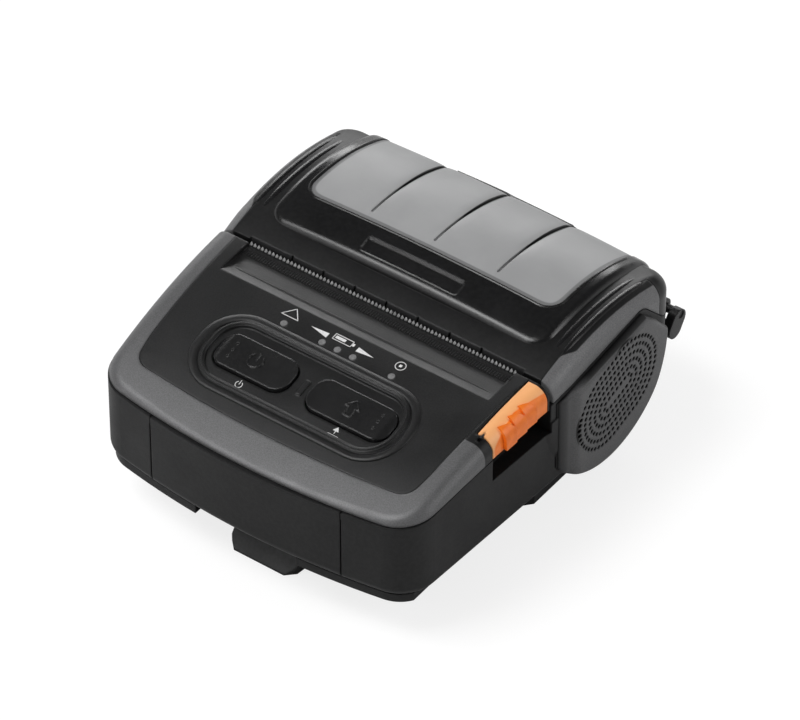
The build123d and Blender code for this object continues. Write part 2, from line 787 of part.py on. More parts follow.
def mechanism_frame():
    """Two side plates joined by the bracket that backs the head spring."""
    front_back = motor_back - motor_radius - 2.4
    rear_back = platen_back + 6.0
    points = [
        side(front_back, frame_low_up),
        side(rear_back - 1.7, frame_low_up),
        side(rear_back, frame_low_up + 3.0),
        side(rear_back, platen_up),
        side(platen_back, platen_up),
        side(platen_back - 4.6, platen_up + 3.8),
        side(idler_back - 7.0, platen_up + 3.0),
        side(front_back, motor_up + 8.8),
    ]
    plate = slab(Polyline(*points, close=True).edges(), frame_x)
    notch = rod(bushing_radius + notch_gap, (42, 46), platen_back, platen_up)
    notch = notch + block((42, 46), (platen_back - bushing_radius - notch_gap, 70), (platen_up, 40))
    plate = plate - notch
    plate = plate - rod(head_pivot_radius + running_gap, (42, 46), *head_pivot)
    between = (-frame_x[0], frame_x[0])
    bar = block(between, bracket_back, (board_up[0] + 0.3, board_up[0] + 1.5))
    wall_back = (bracket_back[0], bracket_back[0] + bracket_wall)
    upright_wall = block(between, wall_back, (board_up[0] + 0.3, platen_up + 1.9))
    frame = both_sides(plate) + bar + upright_wall
    frame = frame - rod(motor_boss_radius + 0.05, (-46, -42), motor_back, motor_up)
    frame = frame - rod(motor_radius + 0.3, (-frame_x[0], motor_x[1] + 0.3), motor_back, motor_up)
    return frame + rod(idler_axle_radius, (train_x[0] - 0.3, -frame_x[0] - 0.2), idler_back, idler_up)


def print_head():
    """The heat sink plate with its ceramic strip, turning on two stubs at its foot."""
    plate = block((-head_half, head_half), (head_back[0], head_back[1] - 0.5), head_up)
    strip_up = (platen_up - 4.1, head_up[1])
    strip = block((-head_half + 0.4, head_half - 0.4), (head_back[1] - 0.5, head_back[1]), strip_up)
    dot_line = rod(0.9, (-paper_width / 2, paper_width / 2), head_back[1] - 0.7, platen_up)
    foot = rod(1.55, (-head_half, head_half), *head_pivot)
    stubs = rod(head_pivot_radius, (-frame_x[1], frame_x[1]), *head_pivot)
    head = plate + strip + dot_line + foot
    return head + stubs


def head_spring():
    """The bent leaf that presses the head against the platen."""
    root_back = bracket_back[0] + bracket_wall + 0.05
    tip_back = head_back[0] - 0.35
    low_up = platen_up - 3.2
    points = [
        (root_back, low_up),
        (root_back + 0.45, low_up),
        (root_back + 0.45, low_up + 2.2),
        (tip_back, low_up + 4.6),
        (tip_back, low_up + 5.5),
        (tip_back - 0.45, low_up + 5.5),
        (root_back, low_up + 2.8),
    ]
    return slab(Polyline(*[side(*point) for point in points], close=True).edges(), (-12, 12))


def stepper_motor():
    """A flat round motor on the left side plate, with a boss in the plate's hole."""
    can = rod(motor_radius, motor_x, motor_back, motor_up)
    can = fillet(can.edges().sort_by(Axis.X)[-1], 1.0)
    can = can + rod(motor_boss_radius, (-frame_x[1], -frame_x[0]), motor_back, motor_up)
    return can - rod(motor_shaft_radius + running_gap, (-50, motor_x[0] + 4), motor_back, motor_up)


def motor_pinion():
    """The brass pinion on the motor's shaft."""
    angle = motor_line_angle - 180.0
    wheel = gear(pinion_teeth, angle, train_x, motor_back, motor_up, motor_shaft_radius - 0.3)
    return wheel + rod(motor_shaft_radius, (train_x[0] - 0.2, motor_x[0] + 3), motor_back, motor_up)


def reduction_gear():
    """The double gear between pinion and platen, turning on the frame's axle."""
    bore = idler_axle_radius + running_gap
    large_angle = motor_line_angle + half_pitch(large_teeth)
    small_angle = gear_line_angle - 180.0 + half_pitch(small_teeth)
    large = gear(large_teeth, large_angle, train_x, idler_back, idler_up, bore)
    small = gear(small_teeth, small_angle, mesh_x, idler_back, idler_up, bore)
    hub = rod(2.6, (train_x[1] - 0.1, mesh_x[0] + 0.1), idler_back, idler_up)
    hub = hub - rod(bore, (-60, 0), idler_back, idler_up)
    return large + hub + small


def platen_gear():
    """The gear on the platen's left end."""
    return gear(platen_teeth, gear_line_angle, mesh_x, platen_back, platen_up, platen_shaft_radius)


def main_board():
    """The circuit board over the battery bay, cut back for the motor and side plates."""
    front = track_face((-board_half, board_half), (board_back[0], 35.0), 3.0)
    rear = track_face((-30.0, 30.0), (20.0, board_back[1] - 1.0), 1.5)
    board = extrude(Pos(0, 0, housing_lift + board_up[0]) * (front + rear), amount=board_up[1] - board_up[0])
    board = board & front_block(bezel_wall + 0.6)
    for across, back, radius in (
        (front_boss[0], front_boss[1], screw_radius + 0.2),
        (rear_boss[0], rear_boss[1], slim_boss_radius + 0.3),
    ):
        board = board - both_sides(post(radius, across, back, (0, 40)))
    return board


def key_switches():
    """Two flat push switches on the board, each under a key's stem."""
    found = []
    for limits in (power_key_x, feed_key_x):
        middle = sum(limits) / 2
        base = block(
            (middle - switch_half, middle + switch_half),
            (key_stem_back - switch_half, key_stem_back + switch_half),
            (board_up[1], board_up[1] + switch_body_height),
        )
        plunger = post(1.6, middle, key_stem_back, (board_up[1] + 1.0, board_up[1] + switch_height))
        found.append(base + plunger)
    return Compound(children=found)


def radio_module():
    """The shielded radio on its own small board."""
    carrier = block((5, 25), (28.4, 36.8), (board_up[1], board_up[1] + 0.8))
    can = block((9, 23), (29.2, 36.0), (board_up[1] + 0.8, board_up[1] + 2.6))
    return carrier + fillet(can.edges().filter_by(Axis.Z), 0.8)


def usb_socket():
    """The small data socket in the left wall."""
    mouth, root = socket_x
    shell = block((mouth, root + 2.0), usb_back, usb_up)
    shell = fillet(shell.edges().filter_by(Axis.X), 0.6)
    hollow_up = (usb_up[0] + 0.5, usb_up[1] - 0.5)
    hollow = block((mouth - 1.0, root - 1.5), (usb_back[0] + 0.5, usb_back[1] - 0.5), hollow_up)
    tongue_up = (usb_up[0] + 1.1, usb_up[0] + 1.8)
    tongue = block((mouth + 0.6, root - 1.0), (usb_back[0] + 2, usb_back[1] - 2), tongue_up)
    return shell - hollow + tongue


def charge_socket():
    """The round charging socket in the left wall."""
    back = sum(charge_back) / 2
    up = sum(charge_up) / 2
    mouth, root = socket_x
    body = block((mouth, root), charge_back, charge_up)
    body = body - rod(2.6, (mouth - 1.0, root - 1.5), back, up)
    return body + rod(0.7, (mouth + 1.0, root - 1.0), back, up)


def cover_switch():
    """The small switch that feels the closed cover."""
    body = block((frame_x[1], frame_x[1] + 3), (60, 67), (17, 22))
    return body + block((frame_x[1] + 0.8, frame_x[1] + 2.2), (62, 64), (22, 22.8))


def platen_shaft():
    """The steel shaft through the rubber roller."""
    return rod(platen_shaft_radius, (mesh_x[0] - 0.2, frame_x[1] + 0.2), platen_back, platen_up)


def platen_roller():
    """The rubber sleeve that moves the paper."""
    sleeve = rod(platen_radius, (-platen_half, platen_half), platen_back, platen_up)
    sleeve = fillet(sleeve.edges(), 0.4)
    return sleeve - rod(platen_shaft_radius, (-60, 60), platen_back, platen_up)


def platen_bushings():
    """Two flanged bushings in the cover's arms that drop into the frame's notches."""
    ring = rod(bushing_radius, (arm_x[0] - 0.1, frame_x[1] + 0.1), platen_back, platen_up)
    ring = ring - rod(platen_shaft_radius + running_gap, (40, 50), platen_back, platen_up)
    return both_sides(ring)


def release_lever():
    """The orange lever on the right shoulder with three grip steps and its barrel."""
    room = block((lever_inner_x, 80), lever_back, (0, 60)) & above_parting(parting_gap)
    body = skin(0.0, lever_wall) & room
    for number in range(3):
        low = lever_step_start + lever_step_pitch * number
        step = block((lever_pin_x, 80), (low, low + lever_step_length), lever_step_up)
        body = body + (skin(-lever_step_rise, 0.3) & step)
    barrel = Pos(at(lever_pin_x, sum(lever_back) / 2, lever_pin_up)) * Rot(90, 0, 0)
    length = lever_back[1] - lever_back[0]
    body = body + (barrel * Cylinder(lever_barrel_radius, length) & front_block(0.2))
    return body - barrel * Cylinder(lever_pin_radius + running_gap, length + 2)


def lever_pin():
    """The steel pin of the release lever."""
    middle = at(lever_pin_x, sum(lever_back) / 2, lever_pin_up)
    length = lever_back[1] - lever_back[0] + 1.6
    return Pos(middle) * Rot(90, 0, 0) * Cylinder(lever_pin_radius, length)


def hinge_pin():
    """The steel pin through the case and cover knuckles."""
    return rod(hinge_pin_radius, (-case_knuckle_x[1], case_knuckle_x[1]), hinge_back, hinge_up)


def battery_pack():
    """The rechargeable pack that fills the bay."""
    limits = (-battery_half, battery_half)
    pack = block(limits, (face_depth, battery_back), battery_up)
    pack = fillet(pack.edges().filter_by(Axis.Y), 2.0)
    for across in contact_x:
        pack = pack - block((across - 1.2, across + 1.2), (battery_back - 0.6, battery_back + 1), contact_up)
    return pack


def battery_face():
    """The pack's front plate, which closes the housing between the two front seams."""
    half = battery_half - fit_gap
    plate = housing() & block((-half, half), (-20, face_depth), (-5, 40))
    return plate - above_parting(-parting_gap / 2)


def battery_contacts():
    """Four contact blades in the bay's rear wall."""
    blades = []
    for across in contact_x:
        blade = block((across - 0.9, across + 0.9), (battery_back - 0.3, battery_back + 2.4), (7.0, 9.0))
        blades.append(blade)
    return Compound(children=blades)


def belt_clip():
    """The sprung clip: tongue, flat foot, drum saddle, barrel and oval ears."""
    outer = drum_radius + clip_drum_gap + clip_plate
    inner = drum_radius + clip_drum_gap
    low = drum_up - outer
    end_angle = math.radians(-17)
    mid_angle = math.radians(-54)

    def polar(radius, angle):
        return side(drum_back + radius * math.cos(angle), drum_up + radius * math.sin(angle))

    nose_run = clip_nose_up - low
    tip = side(clip_nose_back - 1.4 - nose_run, low)
    foot = Line(tip, side(drum_back, low))
    saddle = ThreePointArc(foot @ 1, polar(outer, mid_angle), polar(outer, end_angle))
    under_end = side(drum_back, low + clip_plate)
    under = ThreePointArc(polar(inner, end_angle), polar(inner, mid_angle), under_end)
    end = Line(saddle @ 1, under @ 0)
    top = Polyline(
        under @ 1,
        side(clip_nose_back + 6.0, low + clip_plate),
        side(clip_nose_back + 1.4, clip_nose_up),
        side(clip_nose_back - 1.4, clip_nose_up),
        tip,
    )
    profile = [foot.edge(), saddle.edge(), end.edge(), under.edge(), *top.edges()]
    strip = slab(profile, (-clip_root_half, clip_root_half))
    tip_back = clip_nose_back - 1.4 - nose_run
    half_points = [
        (clip_tip_half - 2.5, tip_back),
        (clip_tip_half, tip_back + 2.5),
        (clip_tip_half + 1.8, tip_back + clip_tongue_back[0]),
        (clip_root_half - 12, clip_tongue_back[1]),
        (clip_root_half, clip_tongue_back[2]),
        (clip_root_half, 140),
    ]
    right = [(across, front_seam_y + back) for across, back in half_points]
    left = [(-across, place) for across, place in reversed(right)]
    strip = strip & extrude(make_face(Polyline(*right, *left, close=True).edges()), amount=60)
    web_points = [
        polar(outer - 0.2, math.radians(-25)),
        polar(inner + 0.2, end_angle),
        side(clip_pin_back, clip_pin_up + clip_lug_radius),
        side(clip_pin_back, clip_pin_up - clip_lug_radius),
    ]
    outer_x = (clip_lug_x[1] + clip_lug_gap, clip_root_half)
    web = slab(Polyline(*web_points, close=True).edges(), outer_x)
    knuckle = rod(clip_lug_radius, outer_x, clip_pin_back, clip_pin_up)
    middle = (-clip_lug_x[0] + clip_lug_gap, clip_lug_x[0] - clip_lug_gap)
    middle_web = slab(Polyline(*web_points, close=True).edges(), middle)
    barrel = rod(clip_lug_radius, middle, clip_pin_back, clip_pin_up)
    lug_room = (clip_lug_x[0] - clip_lug_gap, clip_lug_x[1] + clip_lug_gap)
    slot = block(lug_room, (drum_back + 26, 140), (-1, 40))
    strip = strip - both_sides(slot)
    clip = strip + both_sides(web + knuckle) + middle_web + barrel
    ear_plane = Plane(origin=at(clip_ear_x[0], *clip_ear_centre), x_dir=(0, 1, 0), z_dir=(1, 0, 0))
    ear = ear_plane * (Rot(0, 0, 90 - clip_ear_lean) * SlotOverall(clip_ear_size[0], clip_ear_size[1]))
    ear = extrude(ear, amount=clip_ear_x[1] - clip_ear_x[0])
    neck_back = (clip_ear_centre[0] - 2.4, clip_ear_centre[0] - 0.4)
    neck_up = (clip_ear_centre[1] - 2.5, clip_ear_centre[1] + 0.5)
    ear = ear + block((clip_root_half - 1, clip_ear_x[0] + 0.2), neck_back, neck_up)
    clip = clip + both_sides(ear)
    clip = clip - rod(drum_radius + 0.6, (-60, 60), drum_back, drum_up)
    return clip - rod(clip_pin_radius, (-60, 60), clip_pin_back, clip_pin_up)


def clip_pin():
    """The long bar of the belt clip, seen between clip and ear."""
    return rod(clip_pin_radius, (-clip_ear_x[1] + 0.3, clip_ear_x[1] - 0.3), clip_pin_back, clip_pin_up)


def case_screws():
    """Four screws that hold tub and bezel together."""
    screws = []
    for across, back, top in (
        (front_boss[0], front_boss[1], board_up[1] + 1.5),
        (rear_boss[0], rear_boss[1], board_up[1] + 3.6),
    ):
        for hand in (-1, 1):
            head = post(screw_head_radius, hand * across, back, (screw_seat_up - 1.3, screw_seat_up))
            screws.append(head + post(screw_radius, hand * across, back, (screw_seat_up - 0.1, top)))
    return Compound(children=screws)


parts = {
    "lower_case": lower_case(),
    "base_skirt": base_skirt(),
    "front_bezel": front_bezel(),
    "control_panel": control_panel(),
    "power_button": key(power_key_x),
    "feed_button": key(feed_key_x),
    "status_lenses": status_lenses(),
    "tear_bar": tear_bar(),
    "cover_shell": cover_shell(),
    "cover_hood": cover_hood(),
    "cover_window": cover_window(),
    "cover_trim_left": cover_trim(-1),
    "cover_trim_right": cover_trim(1),
    "cheek_left": cheek(-1),
    "cheek_right": cheek(1),
    "roll_bucket": roll_bucket(),
    "paper_sensor": paper_sensor(),
    "mechanism_frame": mechanism_frame(),
    "print_head": print_head(),
    "head_spring": head_spring(),
    "stepper_motor": stepper_motor(),
    "motor_pinion": motor_pinion(),
    "reduction_gear": reduction_gear(),
    "platen_gear": platen_gear(),
    "platen_shaft": platen_shaft(),
    "platen_roller": platen_roller(),
    "platen_bushings": platen_bushings(),
    "main_board": main_board(),
    "key_switches": key_switches(),
    "radio_module": radio_module(),
    "usb_socket": usb_socket(),
    "charge_socket": charge_socket(),
    "cover_switch": cover_switch(),
    "release_lever": release_lever(),
    "lever_pin": lever_pin(),
    "hinge_pin": hinge_pin(),
    "battery_pack": battery_pack(),
    "battery_face": battery_face(),
    "battery_contacts": battery_contacts(),
    "belt_clip": belt_clip(),
    "clip_pin": clip_pin(),
    "case_screws": case_screws(),
}

for name, shape in parts.items():
    print(name, len(shape.solids()), round(shape.volume, 1), shape.is_valid)
    export_step(shape, f"parts/{name}.step")
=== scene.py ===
import math

import bmesh
import bpy
from mathutils import Matrix, Vector
from mathutils.bvhtree import BVHTree


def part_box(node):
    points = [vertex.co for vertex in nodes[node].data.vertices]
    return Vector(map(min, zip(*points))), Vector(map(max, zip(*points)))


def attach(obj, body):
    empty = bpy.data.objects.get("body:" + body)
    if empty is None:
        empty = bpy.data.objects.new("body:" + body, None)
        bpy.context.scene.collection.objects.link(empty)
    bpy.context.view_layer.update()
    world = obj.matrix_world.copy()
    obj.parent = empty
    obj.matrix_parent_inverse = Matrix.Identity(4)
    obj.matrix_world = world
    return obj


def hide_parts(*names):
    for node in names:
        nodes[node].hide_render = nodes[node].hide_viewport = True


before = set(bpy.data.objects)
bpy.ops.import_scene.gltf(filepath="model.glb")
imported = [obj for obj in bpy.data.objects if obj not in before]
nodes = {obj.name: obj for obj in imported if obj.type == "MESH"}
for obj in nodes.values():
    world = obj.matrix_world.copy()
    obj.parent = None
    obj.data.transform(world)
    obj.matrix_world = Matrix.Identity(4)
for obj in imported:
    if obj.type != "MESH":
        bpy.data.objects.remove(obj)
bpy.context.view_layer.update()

# The camera looks down on the printer's front right corner through a long lens, from
# more than a metre and a half away, so that the sides stay almost parallel.
lens_length = 285.99
sensor_width = 36.0
camera_place = Vector((0.7232, -0.9796, 1.1249))
to_right = Vector((0.80573, 0.59228, 0.0))
to_top = Vector((-0.39631, 0.53914, 0.74315))
to_viewer = Vector((0.44015, -0.59878, 0.66913))

camera_data = bpy.data.cameras.new("camera")
camera_data.lens = lens_length
camera_data.sensor_width = sensor_width
camera_data.clip_start = 0.1
camera_data.clip_end = 20.0
camera = bpy.data.objects.new("camera", camera_data)
turned = Matrix((to_right, to_top, to_viewer)).transposed().to_4x4()
camera.matrix_world = Matrix.Translation(camera_place) @ turned
bpy.context.scene.collection.objects.link(camera)
bpy.context.scene.camera = camera
bpy.context.scene.view_settings.view_transform = "Standard"

# The printer stands on a white sheet that reads as pure white to the camera,
# while the sheet still takes the soft shadow under the case.
floor_half = 3.0
floor_white = 0.80
shadow_share = 0.26
floor_lift = 0.79

floor_mesh = bmesh.new()
bmesh.ops.create_grid(floor_mesh, x_segments=1, y_segments=1, size=floor_half)
floor_data = bpy.data.meshes.new("floor")
floor_mesh.to_mesh(floor_data)
floor_mesh.free()
floor = bpy.data.objects.new("floor", floor_data)
bpy.context.scene.collection.objects.link(floor)

floor_paper = bpy.data.materials.new("floor_paper")
floor_paper.use_nodes = True
tree = floor_paper.node_tree
tree.nodes.clear()
paper = tree.nodes.new("ShaderNodeBsdfDiffuse")
paper.inputs["Color"].default_value = (floor_white, floor_white, floor_white, 1)
shaded_paper = tree.nodes.new("ShaderNodeBsdfDiffuse")
shaded_paper.inputs["Color"].default_value = (shadow_share, shadow_share, shadow_share, 1)
glow = tree.nodes.new("ShaderNodeEmission")
glow.inputs["Strength"].default_value = floor_lift
rays = tree.nodes.new("ShaderNodeLightPath")
lit_paper = tree.nodes.new("ShaderNodeAddShader")
tree.links.new(shaded_paper.outputs[0], lit_paper.inputs[0])
tree.links.new(glow.outputs[0], lit_paper.inputs[1])
seen = tree.nodes.new("ShaderNodeMixShader")
tree.links.new(rays.outputs["Is Camera Ray"], seen.inputs["Fac"])
tree.links.new(paper.outputs[0], seen.inputs[1])
tree.links.new(lit_paper.outputs[0], seen.inputs[2])
out = tree.nodes.new("ShaderNodeOutputMaterial")
tree.links.new(seen.outputs[0], out.inputs["Surface"])
floor_data.materials.append(floor_paper)

# The room is a plain pale studio. The camera sees it white, and gloss mirrors a white
# horizon under a dim ceiling, as between the wide panels of a product studio.
room_strength = 0.30
horizon_height = 0.10
ceiling_height = 0.42
ceiling_grey = 0.10

world = bpy.data.worlds.new("studio")
world.use_nodes = True
bpy.context.scene.world = world
tree = world.node_tree
room_light = tree.nodes["Background"]
room_light.inputs["Color"].default_value = (1, 1, 1, 1)
room_light.inputs["Strength"].default_value = room_strength
white_wall = tree.nodes.new("ShaderNodeBackground")
white_wall.inputs["Color"].default_value = (1, 1, 1, 1)
white_wall.inputs["Strength"].default_value = 1.0
mirrored_room = tree.nodes.new("ShaderNodeBackground")
mirrored_room.inputs["Strength"].default_value = 1.0
direction = tree.nodes.new("ShaderNodeTexCoord")
parts = tree.nodes.new("ShaderNodeSeparateXYZ")
tree.links.new(direction.outputs["Generated"], parts.inputs[0])
height = tree.nodes.new("ShaderNodeValToRGB")
height.color_ramp.elements[0].position = horizon_height
height.color_ramp.elements[0].color = (1, 1, 1, 1)
height.color_ramp.elements[1].position = ceiling_height
height.color_ramp.elements[1].color = (ceiling_grey, ceiling_grey, ceiling_grey, 1)
tree.links.new(parts.outputs["Z"], height.inputs["Fac"])
tree.links.new(height.outputs["Color"], mirrored_room.inputs["Color"])
rays = tree.nodes.new("ShaderNodeLightPath")
glossy = tree.nodes.new("ShaderNodeMixShader")
tree.links.new(rays.outputs["Is Glossy Ray"], glossy.inputs["Fac"])
tree.links.new(room_light.outputs[0], glossy.inputs[1])
tree.links.new(mirrored_room.outputs[0], glossy.inputs[2])
chosen = tree.nodes.new("ShaderNodeMixShader")
tree.links.new(rays.outputs["Is Camera Ray"], chosen.inputs["Fac"])
tree.links.new(glossy.outputs[0], chosen.inputs[1])
tree.links.new(white_wall.outputs[0], chosen.inputs[2])
tree.links.new(chosen.outputs[0], tree.nodes["World Output"].inputs["Surface"])


# Four soft lamps: a broad one high on the left, a tall one on the right, a weak one in
# front, and a low strip behind that draws the bright lines along the edges.
def add_lamp(name, place, aim, size, watts):
    """A rectangular lamp at a place, turned towards the point it lights."""
    lamp_data = bpy.data.lights.new(name, "AREA")
    lamp_data.shape = "RECTANGLE"
    lamp_data.size = size[0]
    lamp_data.size_y = size[1]
    lamp_data.energy = watts
    lamp = bpy.data.objects.new(name, lamp_data)
    towards = Vector(aim) - Vector(place)
    facing = towards.to_track_quat("-Z", "Y").to_matrix().to_4x4()
    lamp.matrix_world = Matrix.Translation(place) @ facing
    bpy.context.scene.collection.objects.link(lamp)


add_lamp("key_lamp", (-0.50, -0.56, 1.42), (0, 0, 0.04), (0.8, 0.8), 17.0)
add_lamp("side_lamp", (1.3, 0.5, 0.8), (0, 0, 0.04), (0.5, 0.9), 5.0)
add_lamp("front_lamp", (-0.7, -1.3, 0.9), (0, 0, 0.03), (0.9, 0.5), 3.0)
add_lamp("rim_lamp", (-1.15, 1.36, 0.62), (0, 0, 0.03), (1.3, 0.40), 9.0)


# Lower case: the tub with its roll drum, moulded in black satin plastic with a fine
# spark-eroded grain. It stands on the clip's foot and carries everything else.
def new_finish(name, gloss=0.3, metal=0.0):
    """A material with one shader, ready for its colour and grain."""
    finish = bpy.data.materials.new(name)
    finish.use_nodes = True
    shader = finish.node_tree.nodes["Principled BSDF"]
    shader.inputs["Specular IOR Level"].default_value = gloss
    shader.inputs["Metallic"].default_value = metal
    return finish, finish.node_tree, shader


def noise_at(tree, scale, detail):
    """Noise that sits still on the part."""
    place = tree.nodes.new("ShaderNodeTexCoord")
    noise = tree.nodes.new("ShaderNodeTexNoise")
    noise.inputs["Scale"].default_value = scale
    noise.inputs["Detail"].default_value = detail
    tree.links.new(place.outputs["Object"], noise.inputs["Vector"])
    return noise


def grain(tree, shader, scale, depth, edge=0.0):
    """Fine moulded grain as bumps, over edges that are slightly rounded."""
    noise = noise_at(tree, scale, 3.0)
    bump = tree.nodes.new("ShaderNodeBump")
    bump.inputs["Strength"].default_value = 1.0
    bump.inputs["Distance"].default_value = depth
    tree.links.new(noise.outputs["Fac"], bump.inputs["Height"])
    if edge:
        rounded = tree.nodes.new("ShaderNodeBevel")
        rounded.samples = 4
        rounded.inputs["Radius"].default_value = edge
        tree.links.new(rounded.outputs["Normal"], bump.inputs["Normal"])
    tree.links.new(bump.outputs["Normal"], shader.inputs["Normal"])


def worn(tree, shader, low, high, scale):
    """Roughness that drifts between two limits over the surface, as handling leaves it."""
    noise = noise_at(tree, scale, 4.0)
    ramp = tree.nodes.new("ShaderNodeMapRange")
    ramp.inputs["From Min"].default_value = 0.3
    ramp.inputs["From Max"].default_value = 0.7
    ramp.inputs["To Min"].default_value = low
    ramp.inputs["To Max"].default_value = high
    tree.links.new(noise.outputs["Fac"], ramp.inputs["Value"])
    tree.links.new(ramp.outputs["Result"], shader.inputs["Roughness"])


def shades(tree, shader, darker, lighter, scale):
    """A base colour that drifts between two shades in small specks."""
    noise = noise_at(tree, scale, 5.0)
    ramp = tree.nodes.new("ShaderNodeValToRGB")
    ramp.color_ramp.elements[0].position = 0.38
    ramp.color_ramp.elements[0].color = (*darker, 1)
    ramp.color_ramp.elements[1].position = 0.62
    ramp.color_ramp.elements[1].color = (*lighter, 1)
    tree.links.new(noise.outputs["Fac"], ramp.inputs["Fac"])
    tree.links.new(ramp.outputs["Color"], shader.inputs["Base Color"])
    return ramp


def dress(finish, *names):
    """Give these nodes one finish."""
    for name in names:
        data = nodes[name].data
        data.materials.clear()
        data.materials.append(finish)


tub_finish, tree, shader = new_finish("tub_finish", gloss=0.20)
shades(tree, shader, (0.0060, 0.0060, 0.0063), (0.0095, 0.0095, 0.0098), 900.0)
worn(tree, shader, 0.40, 0.52, 60.0)
grain(tree, shader, 5200.0, 0.00002, edge=0.0006)
dress(tub_finish, "lower_case", "battery_face", "base_skirt")


# Front bezel: a moulded frame under graphite metallic paint with fine flakes. Behind the
# right corner the paint stops, and the lever sits in a bare black surround.
def coordinates(tree):
    """The three coordinates of a point on the part, each as a socket."""
    place = tree.nodes.new("ShaderNodeTexCoord")
    parts = tree.nodes.new("ShaderNodeSeparateXYZ")
    tree.links.new(place.outputs["Object"], parts.inputs[0])
    return parts.outputs


def reckon(tree, operation, *values):
    """One arithmetic node on sockets or numbers."""
    node = tree.nodes.new("ShaderNodeMath")
    node.operation = operation
    for slot, value in zip(node.inputs, values):
        if isinstance(value, (int, float)):
            slot.default_value = value
        else:
            tree.links.new(value, slot)
    return node.outputs[0]


def edge_between(tree, value, low, high):
    """0 below low, 1 above high and a smooth edge between."""
    node = tree.nodes.new("ShaderNodeMapRange")
    node.interpolation_type = "SMOOTHSTEP"
    node.inputs["From Min"].default_value = low
    node.inputs["From Max"].default_value = high
    tree.links.new(value, node.inputs["Value"])
    return node.outputs["Result"]


def paint_over(tree, shader, mask, colour):
    """A second colour over the shader's own where the mask is 1."""
    under = shader.inputs["Base Color"].links[0].from_socket
    mix = tree.nodes.new("ShaderNodeMix")
    mix.data_type = "RGBA"
    tree.links.new(mask, mix.inputs["Factor"])
    tree.links.new(under, mix.inputs[6])
    mix.inputs[7].default_value = (*colour, 1)
    tree.links.new(mix.outputs[2], shader.inputs["Base Color"])


bezel_dark = (0.092, 0.092, 0.094)
bezel_light = (0.128, 0.128, 0.131)
bare_black = (0.007, 0.007, 0.0073)
lever_surround = (0.0430, -0.0300, 0.0040)

bezel_finish, tree, shader = new_finish("bezel_finish", gloss=0.35, metal=0.25)
shades(tree, shader, bezel_dark, bezel_light, 3600.0)
worn(tree, shader, 0.36, 0.46, 90.0)
grain(tree, shader, 7000.0, 0.000025, edge=0.0010)
across, along, upward = coordinates(tree)
past_side = reckon(tree, "SUBTRACT", across, lever_surround[0])
past_front = reckon(tree, "SUBTRACT", along, lever_surround[1])
inner = reckon(tree, "SMOOTH_MIN", past_side, past_front, lever_surround[2])
paint_over(tree, shader, edge_between(tree, inner, 0.0, 0.0003), bare_black)
dress(bezel_finish, "front_bezel")

# Control panel: a matt black insert with a leathery fine grain. A wide soft rim runs
# round its key well, and its rear ledge carries fine ribs under the paper.
# Its places are given in plan, in millimetres across and behind the front seam line.
seam_back = 61.2
housing_lift = 15.0


def along_at(back):
    """The frame's own distance in metres for a place this far behind the seam line."""
    return (back - seam_back) / 1000


def ray_target(*pieces):
    """The surfaces of these pieces, for laying other things on them."""
    joined = bmesh.new()
    for piece in pieces:
        joined.from_mesh(piece.data)
    surface = BVHTree.FromBMesh(joined)
    joined.free()
    return surface


def laid(surface, across, back, lift):
    """The point of the surface under a place in plan (mm), lifted off it by lift metres."""
    above = Vector((across / 1000, along_at(back), 0.2))
    found, normal = surface.ray_cast(above, Vector((0, 0, -1)))[:2]
    return found + normal * lift


def track(low, high, radius, steps=8):
    """Places round a rounded rectangle in plan, from its low and high corners (mm)."""
    places = []
    corners = (
        (high[0] - radius, high[1] - radius, 0),
        (low[0] + radius, high[1] - radius, 90),
        (low[0] + radius, low[1] + radius, 180),
        (high[0] - radius, low[1] + radius, 270),
    )
    for middle_x, middle_y, start in corners:
        for step in range(steps + 1):
            turn = math.radians(start + 90 * step / steps)
            places.append((middle_x + radius * math.cos(turn), middle_y + radius * math.sin(turn)))
    return places


def along_runs(places, spacing, closed=True):
    """The same path with more places on its long straight runs."""
    path = []
    ends = places[1:] + places[:1] if closed else places[1:]
    for start, end in zip(places, ends):
        count = max(1, round(math.dist(start, end) / spacing))
        for step in range(count):
            share = step / count
            path.append(tuple(a + (b - a) * share for a, b in zip(start, end)))
    if not closed:
        path.append(places[-1])
    return path


def bead(name, path, thickness, closed=True, rounds=2):
    """A round bead swept along a path of points, as a mesh at the origin."""
    line = bpy.data.curves.new(name + "_line", "CURVE")
    line.dimensions = "3D"
    line.bevel_depth = thickness / 2
    line.bevel_resolution = rounds
    line.use_fill_caps = not closed
    spline = line.splines.new("POLY")
    spline.points.add(len(path) - 1)
    for spot, place in zip(spline.points, path):
        spot.co = (*place, 1)
    spline.use_cyclic_u = closed
    carrier = bpy.data.objects.new(name + "_line", line)
    bpy.context.scene.collection.objects.link(carrier)
    bpy.context.view_layer.update()
    finished = carrier.evaluated_get(bpy.context.evaluated_depsgraph_get())
    swept = bpy.data.meshes.new_from_object(finished)
    bpy.data.objects.remove(carrier)
    shape = bmesh.new()
    shape.from_mesh(swept)
    bmesh.ops.remove_doubles(shape, verts=shape.verts, dist=1e-7)
    bmesh.ops.recalc_face_normals(shape, faces=shape.faces)
    return shape


def piece_from(name, shape, finish, body, sharp=0.6):
    """A finished object from a bmesh, shaded smooth between its sharp edges."""
    for face in shape.faces:
        face.smooth = True
    for edge in shape.edges:
        edge.smooth = len(edge.link_faces) != 2 or edge.calc_face_angle(0.0) < sharp
    data = bpy.data.meshes.new(name)
    shape.to_mesh(data)
    shape.free()
    data.materials.append(finish)
    piece = bpy.data.objects.new(name, data)
    bpy.context.scene.collection.objects.link(piece)
    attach(piece, body)
    return piece


